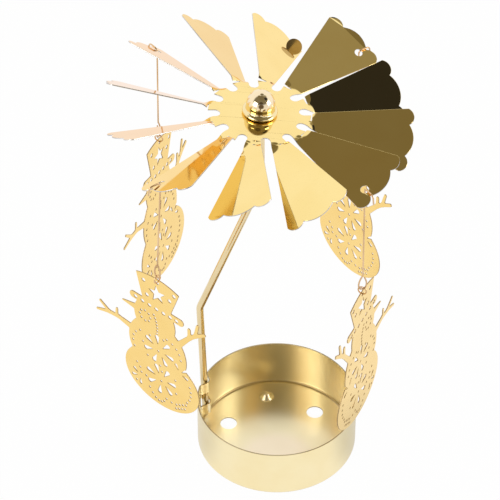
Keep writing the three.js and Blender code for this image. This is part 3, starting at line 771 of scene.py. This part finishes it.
def blade_point(blade, reach, side):
    """The middle plane of a blade: twisted, lifted and skewed beyond the neck."""
    neck = NECK_END - NECK_START
    past = max(reach - NECK_START, 0.0)
    share = min(past / neck, 1.0)
    share = share * share * (3 - 2 * share)
    twist = math.radians(BLADE_TWISTS[blade]) * share
    run = past * past / (2 * neck) if past < neck else past - neck / 2
    rise = run * math.tan(math.radians(BLADE_LIFTS[blade]))
    shift = run * math.tan(math.radians(BLADE_SKEWS[blade]))
    point = Vector((reach, shift + side * math.cos(twist), rise + side * math.sin(twist)))
    return Matrix.Rotation(FIRST_BLADE_TURN + blade * pitch, 3, "Z") @ point


def lobe_circle(start, end, bulge):
    """The circle of a lobe that bulges to the right of its chord: its centre, radius and way outward."""
    chord = end - start
    out = Vector((chord.y, -chord.x)).normalized()
    radius = (chord.length_squared / 4 + bulge * bulge) / (2 * bulge)
    return (start + end) / 2 + out * (bulge - radius), radius, out


def lobe(start, end, bulge, facets):
    """Points along the lobe's arc, without its first point."""
    start, end = Vector(start), Vector(end)
    centre, radius, _ = lobe_circle(start, end, bulge)
    spoke = start - centre
    sweep = 2 * math.asin((end - start).length / 2 / radius)
    turns = spaced(0, sweep, facets)[1:]
    return [tuple(Matrix.Rotation(turn, 2) @ spoke + centre) for turn in turns]


def chord_way(blade, start, end):
    """The way of a lobe's chord on the twisted blade."""
    return (blade_point(blade, *end) - blade_point(blade, *start)).normalized()


def bent_lobe(blade, rim, angles):
    """A lobe bent about its chord, in rows from the chord to its rim; the last angle is that of the rim."""
    start, end = Vector(rim[0]), Vector(rim[-1])
    chord = end - start
    along = chord_way(blade, start, end)
    turns = [Matrix.Rotation(math.radians(angle), 3, along) for angle in angles]
    rows = []
    for row in range(len(angles) + 1):
        points = []
        for point in rim:
            share = (Vector(point) - start).dot(chord) / chord.length_squared
            flat = blade_point(blade, *(start + chord * share))
            step = (blade_point(blade, *point) - flat) / len(angles)
            points.append(sum((turn @ step for turn in turns[:row]), flat))
        rows.append(points)
    return rows


def turned_lobe(blade, rim, bulge, degrees):
    """Nearly the whole circle that a lobe is part of, folded up about its own inner end."""
    start, end = Vector(rim[0]), Vector(rim[-1])
    centre, radius, out = lobe_circle(start, end, bulge)
    centre += (end - start).normalized() * TURNED_LOBE_SHIFT - out * TURNED_LOBE_INSET
    radius *= TURNED_LOBE_SHARE
    tilt = Matrix.Rotation(math.radians(degrees), 3, chord_way(blade, start, end))
    fold = blade_point(blade, *(centre - out * radius))
    flat = [blade_point(blade, *point) for point in circle(*centre, radius, TURNED_LOBE_FACETS)]
    return [tilt @ (point - fold) + fold for point in flat]


def fan_skin():
    places = []
    faces = []
    folded = []

    def patch(points, corners):
        start = len(places)
        places.extend(points)
        faces.extend(tuple(start + corner for corner in face) for face in corners)

    def grid(rows):
        patch([point for row in rows for point in row], grid_faces(len(rows), len(rows[0])))

    inner, outer = SLIT_REACH - SLIT_WIDTH / 2, SLIT_REACH + SLIT_WIDTH / 2
    before = spaced(NECK_START, inner, NECK_ROWS_BEFORE)
    after = spaced(outer, NECK_END, NECK_ROWS_AFTER)
    columns = spaced(0, 1, NECK_COLUMNS)
    corner = edge_at(CORNER_REACH)
    tips = [(CORNER_REACH, -corner), (CUSP_REACH, -CUSP_SIDE), (CUSP_REACH, CUSP_SIDE),
            (CORNER_REACH, corner)]
    hub = []
    for blade in range(BLADE_COUNT):
        turn = FIRST_BLADE_TURN + blade * pitch
        spin = Matrix.Rotation(turn, 3, "Z")
        slot_spin = Matrix.Rotation(turn - pitch / 2, 3, "Z")
        half = SLOT_WIDTH / 2
        for around in spaced(-math.pi / 2, math.pi / 2, SLOT_FACETS):
            along = SLOT_REACH + half - half * math.cos(around)
            hub.append((slot_spin @ Vector((along, half * math.sin(around), 0)))[:2])
        for share in [-c for c in columns[::-1]] + columns[1:]:
            hub.append((spin @ Vector((NECK_START, share * edge_at(NECK_START), 0)))[:2])
        grid([[blade_point(blade, reach, -share * edge_at(reach)) for share in columns]
              for reach in before + after])
        grid([[blade_point(blade, reach, share * edge_at(reach)) for share in columns] for reach in after])
        stub = []
        for reach in before:
            middle = blade_point(blade, reach, 0)
            end = spin @ Vector((reach, edge_at(reach), 0))
            stub.append([middle.lerp(end, share) for share in columns])
        grid(stub)
        neck = edge_at(NECK_END)
        outline = [(NECK_END, -neck), tips[0]]
        small, large = (SMALL_LOBE, SMALL_LOBE_FACETS), (LARGE_LOBE, LARGE_LOBE_FACETS)
        for i, (bulge, facets) in enumerate((small, large, small)):
            rim = [tips[i]] + lobe(tips[i], tips[i + 1], bulge, facets)
            if (blade, i) in BENT_LOBES:
                outline.append(tips[i + 1])
                grid(bent_lobe(blade, rim, BENT_LOBES[blade, i]))
            elif (blade, i) in TURNED_LOBES:
                outline.append(tips[i + 1])
                disc = turned_lobe(blade, rim, bulge, TURNED_LOBES[blade, i])
                folded.append(len(faces))
                patch(disc, [tuple(range(len(disc)))])
            else:
                outline += rim[1:]
        outline += [(NECK_END, share * neck) for share in columns[::-1]]
        outline += [(NECK_END, -share * neck) for share in columns[1:-1]]
        holes = []
        if blade in HUNG_BLADES:
            holes.append(circle(HOLE_REACH, -HOLE_SIDE, HOLE_RADIUS, HOLE_FACETS))
        points = outline + [p for hole in holes for p in hole]
        patch([blade_point(blade, *p) for p in points], fill(outline, holes))
    stem = circle(0, 0, STEM_RADIUS + FIT_GAP, HOLE_FACETS * 2)
    patch([(*p, 0) for p in hub + stem], fill(hub, [stem]))
    return places, faces, folded


places, faces, folded = fan_skin()
fan_mesh = make_mesh("bladed_fan", places, faces, weld=FAN_WELD)
face_down(fan_mesh, Vector((0, HUB_PROBE_REACH * MM, 0)), Vector((0, 0, 1)))
# The folded lobe takes the metal with the painted dark reflection
for face in folded:
    fan_mesh.polygons[face].material_index = FAN_METALS.index("painted_dark_reflection")
fan = make_piece("bladed_fan", fan_mesh, FAN_METALS, fan_place)
thicken(fan, SHEET, EVENLY)
settle(fan)
bent_blade = min(BENT_LOBES)[0]
wear_edges(fan, fan_place @ blade_point(bent_blade, CUSP_REACH, CUSP_SIDE) * MM, BEND_SPAN * MM)
shade(settle(fan), SHARP["fan"])
even_out(fan)
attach(fan, "rotor")
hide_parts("fan")

under = SHEET / 2 + FIT_GAP
bead_half = BEAD_THICKNESS / 2
bead_top = under + BEAD_THICKNESS
rivet_end = under + RIVET_THICKNESS
knob_profile = [(0, SEAT_HEIGHT + FIT_GAP), (BORE_RADIUS, BORE_END), (BORE_RADIUS, -rivet_end)]
knob_profile += arc(RIVET_RADIUS - RIVET_EDGE, RIVET_EDGE - rivet_end, RIVET_EDGE, *RIVET_ARC)
knob_profile += [(STEM_RADIUS, -under), (STEM_RADIUS, under)]
knob_profile += arc(BEAD_RADIUS - bead_half, under + bead_half, bead_half, *BEAD_ARC)
knob_profile += [(KNOB_RADIUS + GROOVE_DEPTH, bead_top + GROOVE_GAP)]
knob_profile += [(KNOB_RADIUS + GROOVE_GAP, bead_top + GROOVE_GAP + GROOVE_DEPTH)]
knob_profile += arc(0, KNOB_SHOULDER, KNOB_RADIUS, *DOME_ARC)
knob_profile += [(0, KNOB_SHOULDER + KNOB_RADIUS)]
knob = plain_piece("turned_knob", lathe(knob_profile, KNOB_FACETS), SHARP["knob"], "knob_gold")
knob.matrix_world = in_metres(fan_place)
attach(knob, "rotor")
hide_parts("knob")


# Pierced figure: its outline is where a distance field crosses zero
def to_disc(x, z, cx, cz, radius):
    return np.hypot(x - cx, z - cz) - radius


def to_oval(x, z, cx, cz, across, up):
    near = np.hypot((x - cx) / across, (z - cz) / up) + TINY
    steep = np.hypot((x - cx) / across ** 2, (z - cz) / up ** 2) + TINY
    return near * (near - 1) / steep


def to_limb(x, z, ax, az, a_half, bx, bz, b_half):
    length = (bx - ax) ** 2 + (bz - az) ** 2
    share = np.clip(((x - ax) * (bx - ax) + (z - az) * (bz - az)) / length, 0, 1)
    reach = np.hypot(x - ax - share * (bx - ax), z - az - share * (bz - az))
    return reach - (a_half + (b_half - a_half) * share)


def to_polygon(x, z, corners):
    reach = np.full(x.shape, np.inf)
    inside = np.zeros(x.shape, bool)
    for (ax, az), (bx, bz) in zip(corners, corners[1:] + corners[:1]):
        reach = np.minimum(reach, to_limb(x, z, ax, az, 0, bx, bz, 0))
        crosses = (az > z) != (bz > z)
        height = np.where(bz == az, 1.0, bz - az)
        inside ^= crosses & (x < (bx - ax) * (z - az) / height + ax)
    return np.where(inside, -reach, reach)


def smooth_join(a, b, fillet):
    share = np.clip(0.5 + 0.5 * (b - a) / fillet, 0, 1)
    return b + (a - b) * share - fillet * share * (1 - share)


def to_petal(x, z, cx, cz, degrees, petal):
    inner, outer, half = petal
    turn = math.radians(degrees)
    near, = on_circle(cx, cz, inner + PETAL_POINT_INSET, [turn])
    far, = on_circle(cx, cz, outer - half, [turn])
    return to_limb(x, z, *near, PETAL_POINT_HALF, *far, half)


def dot_places():
    dots = []
    for ax, az, bx, bz, bow, count in DOT_ROWS:
        length = math.hypot(bx - ax, bz - az)
        for share in spaced(0, 1, count - 1):
            out = 4 * bow * share * (1 - share) / length
            dots.append((ax + (bx - ax) * share - (bz - az) * out,
                         az + (bz - az) * share + (bx - ax) * out))
    return dots + list(LONE_DOTS) + circle(*EYE_PLACE, EYE_REACH, EYE_DOTS)


def figure_field(x, z):
    hat_foot = HAT_RISE - HAT_HEIGHT - HAT_CROWN
    slant = (HAT_TOP_HALF - HAT_FOOT_HALF) / (HAT_RISE - HAT_CROWN - hat_foot)
    hx = x * math.cos(HAT_TURN) + z * math.sin(HAT_TURN)
    hz = z * math.cos(HAT_TURN) - x * math.sin(HAT_TURN)
    sides = (np.abs(hx) - HAT_FOOT_HALF - slant * (hz - hat_foot)) / math.hypot(1, slant)
    top = hz - (HAT_RISE - HAT_CROWN * (hx / HAT_TOP_HALF) ** 2)
    hat = np.maximum(np.maximum(sides, hat_foot - hz), top)
    brim_end = BRIM_HALF - BRIM_RADIUS
    field = to_oval(x, z, *BALL_PLACE, *BALL_HALVES)
    solids = [to_disc(x, z, *TORSO), to_disc(x, z, *HEAD), hat,
              to_limb(hx, hz, -brim_end, -BRIM_DROP, BRIM_RADIUS, brim_end, -BRIM_DROP, BRIM_RADIUS)]
    solids += [to_limb(x, z, *(share * FIGURE_HEIGHT for share in row)) for row in LIMB_SHARES]
    for solid in solids:
        field = smooth_join(field, solid, CORNER_FILLET)
    star = []
    for i, turn in enumerate(full_turn(2 * STAR_POINTS)):
        star += on_circle(0, -STAR_DROP, STAR_WAIST if i % 2 else STAR_RADIUS, [STAR_TURN + turn])
    eyelet = to_disc(x, z, 0, RING_WIRE - (EYELET_RADIUS - FIT_GAP), EYELET_RADIUS)
    cuts = [eyelet, to_polygon(hx, hz, star)]
    for cx, cz, turn in ROSETTES:
        cuts += [to_petal(x, z, cx, cz, turn + 360 * i / PETAL_COUNT, PETAL) for i in range(PETAL_COUNT)]
    for cx, cz, turns in SPRIGS:
        cuts += [to_petal(x, z, cx, cz, turn, SPRIG) for turn in turns]
    cuts += [to_disc(x, z, cx, cz, DOT_RADIUS) for cx, cz in dot_places()]
    cuts += [to_disc(hx, hz, cx, cz, BIG_DOT_RADIUS) for cx, cz in BIG_DOTS]
    cuts += [to_oval(hx, hz, cx, cz, *BRIM_DOT_HALVES) for cx, cz in BRIM_DOTS]
    for cut in cuts:
        field = np.maximum(field, -cut)
    return field


def figure_loops():
    """Closed outlines of the plate and its piercings, each with the metal on its left."""
    left, right = (FIGURE_HEIGHT * share for share in CONTOUR_SIDE_SHARES)
    xs = np.arange(-left, right, CONTOUR_STEP) + CONTOUR_STEP / 3
    low, high = -FIGURE_HEIGHT - CONTOUR_MARGIN, HAT_RISE + CONTOUR_MARGIN
    zs = np.arange(low, high, CONTOUR_STEP) + CONTOUR_STEP / 5
    grid_x, grid_z = np.meshgrid(xs, zs)
    field = figure_field(grid_x, grid_z)
    inside = field < 0
    count = sum(inside[i:inside.shape[0] - 1 + i, j:inside.shape[1] - 1 + j].astype(int)
                for i in (0, 1) for j in (0, 1))
    ways = {}
    for row, column in zip(*np.nonzero((count > 0) & (count < 4))):
        corners = [(row, column), (row, column + 1), (row + 1, column + 1), (row + 1, column)]
        held = [bool(inside[c]) for c in corners]
        for k in range(4):
            if held[k] and not held[(k + 1) % 4]:
                back = (k - 1) % 4
                while held[back] or not held[(back + 1) % 4]:
                    back = (back - 1) % 4
                start = frozenset((corners[k], corners[(k + 1) % 4]))
                ways[start] = frozenset((corners[back], corners[(back + 1) % 4]))

    def crossing(edge):
        a, b = sorted(edge)
        (a_row, a_column), (b_row, b_column) = a, b
        share = field[a] / (field[a] - field[b])
        return (xs[a_column] + (xs[b_column] - xs[a_column]) * share,
                zs[a_row] + (zs[b_row] - zs[a_row]) * share)

    loops = []
    while ways:
        start, edge = ways.popitem()
        loop = [crossing(start)]
        while edge != start:
            loop.append(crossing(edge))
            edge = ways.pop(edge)
        if len(loop) >= LEAST_POINTS:
            loops.append(np.array(loop))
    return loops


def thin_out(loop):
    """Drops points that lie on the line between their neighbours."""
    for _ in range(THINNING_PASSES):
        before, after = np.roll(loop, 1, 0), np.roll(loop, -1, 0)
        chord = after - before
        off = np.abs(chord[:, 0] * (loop[:, 1] - before[:, 1]) - chord[:, 1] * (loop[:, 0] - before[:, 0]))
        off /= np.hypot(chord[:, 0], chord[:, 1]) + TINY
        keep = (off > CONTOUR_TOLERANCE) | (np.arange(len(loop)) % 2 == 0)
        if keep.sum() < LEAST_POINTS + 2:
            break
        loop = loop[keep]
    return loop


def doubled_area(loop):
    after = np.roll(loop, -1, 0)
    return np.sum(loop[:, 0] * after[:, 1] - loop[:, 1] * after[:, 0])


def figure_mesh():
    """The plate with its piercings: both faces, a small bevel round each edge, and the edges."""
    loops = sorted(map(thin_out, figure_loops()), key=doubled_area, reverse=True)
    flat = np.concatenate(loops)
    x, z = flat[:, 0], flat[:, 1]
    slope = np.stack([figure_field(x + SLOPE_STEP, z) - figure_field(x - SLOPE_STEP, z),
                      figure_field(x, z + SLOPE_STEP) - figure_field(x, z - SLOPE_STEP)], 1)
    slope /= np.linalg.norm(slope, axis=1)[:, None] + TINY
    inset = flat - slope * PLATE_EDGE
    starts = np.cumsum([0] + [len(loop) for loop in loops])
    half = PLATE / 2
    levels = [(inset, -half), (flat, -half + PLATE_EDGE), (flat, half - PLATE_EDGE), (inset, half)]
    places = [(px, y, pz) for points, y in levels for px, pz in points]
    total = len(flat)
    outlines = np.split(inset, starts[1:-1])
    cap = fill(outlines[0], outlines[1:])
    faces = [tuple(face) for face in cap]
    faces += [tuple(3 * total + corner for corner in face[::-1]) for face in cap]
    edges = len(faces)
    for i in range(len(loops)):
        first, size = starts[i], starts[i + 1] - starts[i]
        for k in range(size):
            a, b = int(first + k), int(first + (k + 1) % size)
            for level in range(3):
                low, high = level * total, (level + 1) * total
                faces.append((a + low, b + low, b + high, a + high))
    mesh = make_mesh("pierced_snowman", places, faces)
    for face in mesh.polygons[edges:]:
        # The edges and their bevels take the darker metal, painted shade
        face.material_index = 1 if abs(face.normal.y) < RIM_SLOPE else 0
    shade(mesh, SHARP["figure"])
    return mesh


plate_mesh = figure_mesh()


# Chains
def hanger_stations(rest_height, shank, eye_turn):
    """From the place where the hook rests on the blade: x outward over the blade's edge."""
    tail = Vector((HOOK_HALF + HOOK_FLARE, 0, rest_height - HOOK_TAIL))
    outer = Vector((HOOK_HALF, 0, rest_height))
    inner = Vector((-HOOK_HALF, 0, rest_height))
    foot = Vector((-SHANK_DRIFT, 0, -shank))
    stations = [tail, *bend(tail, outer, inner, HOOK_BEND, HOOK_FACETS),
                *bend(outer, inner, foot, HOOK_BEND, HOOK_FACETS)]
    # The most that the sine of a turn times the sine of half the turn comes to
    widest = 4 / math.sqrt(27)
    for turn in spaced(0, 2 * math.pi * EYE_CLOSED_SHARE, EYE_FACETS):
        across = EYE_HALF_WIDTH / widest * math.sin(turn) * math.sin(turn / 2)
        drop = EYE_LENGTH * (1 - math.cos(turn)) / 2
        stations.append(foot + Vector((*polar(across, eye_turn), -drop)))
    return stations


def turned_by(x, y, z):
    return Matrix.Rotation(z, 4, "Z") @ Matrix.Rotation(y, 4, "Y") @ Matrix.Rotation(x, 4, "X")


ring_drop = RING_RADIUS - RING_WIRE - WIRE_RADIUS - FIT_GAP
ring_turns = [RING_SPLIT_TURN + turn for turn in spaced(0, 2 * math.pi * RING_SPLIT_SHARE, RING_FACETS)]
for label, (blade, (*degrees, shank)) in enumerate(zip(HUNG_BLADES, CHAINS), 1):
    facing, swing, tilt, lean_out, lean_side, eye_turn = map(math.radians, degrees)
    hole = fan_in_rotor @ blade_point(blade, HOLE_REACH, -HOLE_SIDE)
    cusp = fan_in_rotor @ blade_point(blade, CUSP_REACH, -CUSP_SIDE)
    land = cusp - hole
    across = fan_in_rotor @ blade_point(blade, HOLE_REACH, 0) - hole
    face_up = land.cross(across).normalized()
    rest = hole + land * ((HOLE_RADIUS / land.length + 1) / 2)
    rest.z += SHEET / 2 / face_up.z
    outward = math.atan2(land.y, land.x)
    hanger_in_rotor = Matrix.Translation(rest) @ turned_by(lean_side, -lean_out, outward)
    rest_height = (WIRE_RADIUS + HOOK_LIFT) / face_up.z
    stations = hanger_stations(rest_height, shank, facing + eye_turn - outward)
    hook = plain_piece(f"hook_wire_{label}", tube(stations, WIRE_RADIUS, WIRE_SIDES), SHARP["wire"],
                       "copper_wire", rotor_place @ hanger_in_rotor)
    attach(hook, f"hanger_{label}")
    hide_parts(f"hanger_{label}")

    eye = hanger_in_rotor @ Vector((-SHANK_DRIFT, 0, -shank - EYE_LENGTH))
    ring_in_rotor = Matrix.Translation(eye) @ turned_by(tilt, 0, facing)
    stations = [(0, y, z) for y, z in on_circle(0, -ring_drop, RING_RADIUS, ring_turns)]
    ring_skin = tube(stations, RING_WIRE, WIRE_SIDES, RING_DOME_RINGS)
    ring = plain_piece(f"split_ring_{label}", ring_skin, SHARP["wire"], "copper_wire",
                       rotor_place @ ring_in_rotor)
    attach(ring, f"ring_{label}")
    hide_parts(f"jump_ring_{label}")

    hung = Matrix.Translation((0, 0, -ring_drop - RING_RADIUS)) @ Matrix.Rotation(-swing, 4, "Y")
    figure = make_piece(f"pierced_snowman_{label}", plate_mesh.copy(), ("figure_gold", "figure_shaded_edge"),
                        rotor_place @ ring_in_rotor @ hung)
    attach(figure, f"figure_{label}")
    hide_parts(f"snowman_{label}")


# Floor, light and camera
FLOOR_HALF = 4.0
FLOOR_GLOW_SHARE = 0.98
PAPER_COLOUR = (0.9, 0.9, 0.89)
# Painted shade where the floor, as the metal mirrors it, is a little darker: place in millimetres, how far
# it is dim, where that has faded out, and its level
FLOOR_PAINTED_SHADES = (
    (44, 4, 14, 34, 0.72),
    (-42, 0, 9, 28, 0.8),
)
# A bright studio whose viewer's side is dark: azimuth and elevation of each dim zone in degrees, the
# angle up to which it is dim, the angle at which it has faded out, and its colour. The darkest zone
# counts where they meet. Low down the room is light again, but for the zones of the second table
DIM_ZONES = (
    (-90, 47, 52, 67, (0.21, 0.185, 0.122)),
    (-87, 36, 14, 32, (0.085, 0.067, 0.042)),
    (-36, 80, 18, 30, (0.19, 0.16, 0.096)),
    (144, 76, 7, 16, (0.2, 0.165, 0.095)),
    (74, 61, 8, 14, (0.2, 0.18, 0.12)),
    (-5, 54, 9, 20, (0.027, 0.025, 0.024)),
    (26, 60, 7, 18, (0.31, 0.275, 0.19)),
)
LOW_ZONES = (
    (-87, 14, 15, 28, (0.13, 0.095, 0.06)),
)
LIGHT_BELOW = 20
DIM_ABOVE = 38
LOW_LEVEL = 0.85
STUDIO_LEVEL = 1.05
# Name, azimuth and elevation in degrees, distance and width in metres, and power in watts
LAMPS = (
    ("left_softbox", -140, 27, 0.9, 0.5, 2.6),
    ("right_softbox", -16, 24, 0.9, 0.42, 2.2),
)
LAMP_AIM = (0, 0, 100)
CAMERA_TILT = math.radians(41.70)
CAMERA_DISTANCE = 962
CAMERA_TARGET = (-10.44, 0, 98.51)
FOCAL_PIXELS = 2603
IMAGE_PIXELS = 500
SENSOR_WIDTH = 36
NEAR_CLIP = 0.05
FAR_CLIP = 20


def light_share(nodes, *names):
    """One where any of the named kinds of ray looks."""
    rays = nodes.add("LightPath", {}).outputs
    return reduce(partial(nodes.number, "MAXIMUM"), [rays[name] for name in names])


def least(compared, values):
    """The smallest of the values, compared as numbers or as colours."""
    return reduce(partial(compared, "MINIMUM"), values)


def towards(azimuth, elevation):
    a, e = math.radians(azimuth), math.radians(elevation)
    return Vector((math.cos(a) * math.cos(e), math.sin(a) * math.cos(e), math.sin(e)))


def paper():
    """Pale paper that glows evenly to the eye, and in the metal but for its painted shade, and takes the
    object's shadow.
    """
    material = bpy.data.materials.new("paper")
    nodes = Nodes(material)
    nodes.tree.nodes.clear()
    place = nodes.place()
    shades = []
    for x, y, dim, clear, level in FLOOR_PAINTED_SHADES:
        reach = nodes.vector("DISTANCE", place, Vector((x, y, 0)) * MM, "Value")
        shades.append(nodes.fade(reach, dim * MM, clear * MM, level))
    mirrored = least(nodes.number, shades)
    seen = nodes.number("MAXIMUM", light_share(nodes, "Is Camera Ray"), mirrored)
    direct = light_share(nodes, "Is Camera Ray", "Is Glossy Ray", "Is Transmission Ray")
    diffuse = nodes.add("BsdfDiffuse", {"Color": PAPER_COLOUR})
    glow = nodes.add("Emission", {"Color": seen, "Strength": 1.0})
    share = nodes.number("MULTIPLY", direct, FLOOR_GLOW_SHARE)
    mixed = nodes.add("MixShader", {0: share, 1: diffuse.outputs[0], 2: glow.outputs[0]})
    nodes.add("OutputMaterial", {"Surface": mixed.outputs[0]})
    return material


def zone_tone(nodes, place, azimuth, elevation, dim, clear, colour):
    dot = nodes.vector("DOT_PRODUCT", place, towards(azimuth, elevation), "Value")
    share = nodes.fade(nodes.number("ARCCOSINE", dot), math.radians(dim), math.radians(clear))
    return nodes.blend(share, colour, (1, 1, 1))


def studio():
    """The room around the object, white to the camera itself."""
    world = bpy.data.worlds.new("studio")
    nodes = Nodes(world)
    nodes.tree.nodes.clear()
    place = nodes.place("Generated")
    height = nodes.add("SeparateXYZ", {0: place}).outputs["Z"]
    low = nodes.fade(height, math.sin(math.radians(DIM_ABOVE)), math.sin(math.radians(LIGHT_BELOW)))
    lifted = nodes.add("VectorMath", {0: low, "Scale": LOW_LEVEL}, operation="SCALE").outputs[0]
    dim = least(nodes.vector, [zone_tone(nodes, place, *zone) for zone in DIM_ZONES])
    level = nodes.vector("MAXIMUM", dim, lifted)
    level = least(nodes.vector, [level] + [zone_tone(nodes, place, *zone) for zone in LOW_ZONES])
    room = nodes.add("Background", {"Color": level, "Strength": STUDIO_LEVEL})
    white = nodes.add("Background", {"Color": (1, 1, 1), "Strength": 1.0})
    camera_share = light_share(nodes, "Is Camera Ray")
    shown = nodes.add("MixShader", {0: camera_share, 1: room.outputs[0], 2: white.outputs[0]})
    nodes.add("OutputWorld", {"Surface": shown.outputs[0]})
    return world


def place_lamp(name, azimuth, elevation, distance, width, power):
    lamp = bpy.data.lights.new(name, "AREA")
    lamp.shape = "SQUARE"
    lamp.size = width
    lamp.energy = power
    lamp_object = put(name, lamp)
    aim = Vector(LAMP_AIM) * MM
    place = aim + towards(azimuth, elevation) * distance
    lamp_object.location = place
    lamp_object.rotation_euler = (aim - place).to_track_quat("-Z", "Y").to_euler()


def place_camera():
    camera = bpy.data.cameras.new("camera")
    camera.sensor_width = SENSOR_WIDTH
    camera.lens = SENSOR_WIDTH * FOCAL_PIXELS / IMAGE_PIXELS
    camera.clip_start = NEAR_CLIP
    camera.clip_end = FAR_CLIP
    camera_object = put("camera", camera)
    back = Vector((0, -math.cos(CAMERA_TILT), math.sin(CAMERA_TILT)))
    camera_object.location = (Vector(CAMERA_TARGET) + back * CAMERA_DISTANCE) * MM
    camera_object.rotation_euler = (math.pi / 2 - CAMERA_TILT, 0, 0)
    return camera_object


corners = [(x * FLOOR_HALF, y * FLOOR_HALF, 0) for x, y in ((-1, -1), (1, -1), (1, 1), (-1, 1))]
floor_mesh = bpy.data.meshes.new("floor")
floor_mesh.from_pydata(corners, [], [(0, 1, 2, 3)])
floor_mesh.materials.append(paper())
floor = make_piece("floor", floor_mesh)

bpy.context.scene.world = studio()
for lamp in LAMPS:
    place_lamp(*lamp)
bpy.context.scene.camera = place_camera()
bpy.context.scene.view_settings.view_transform = "Standard"
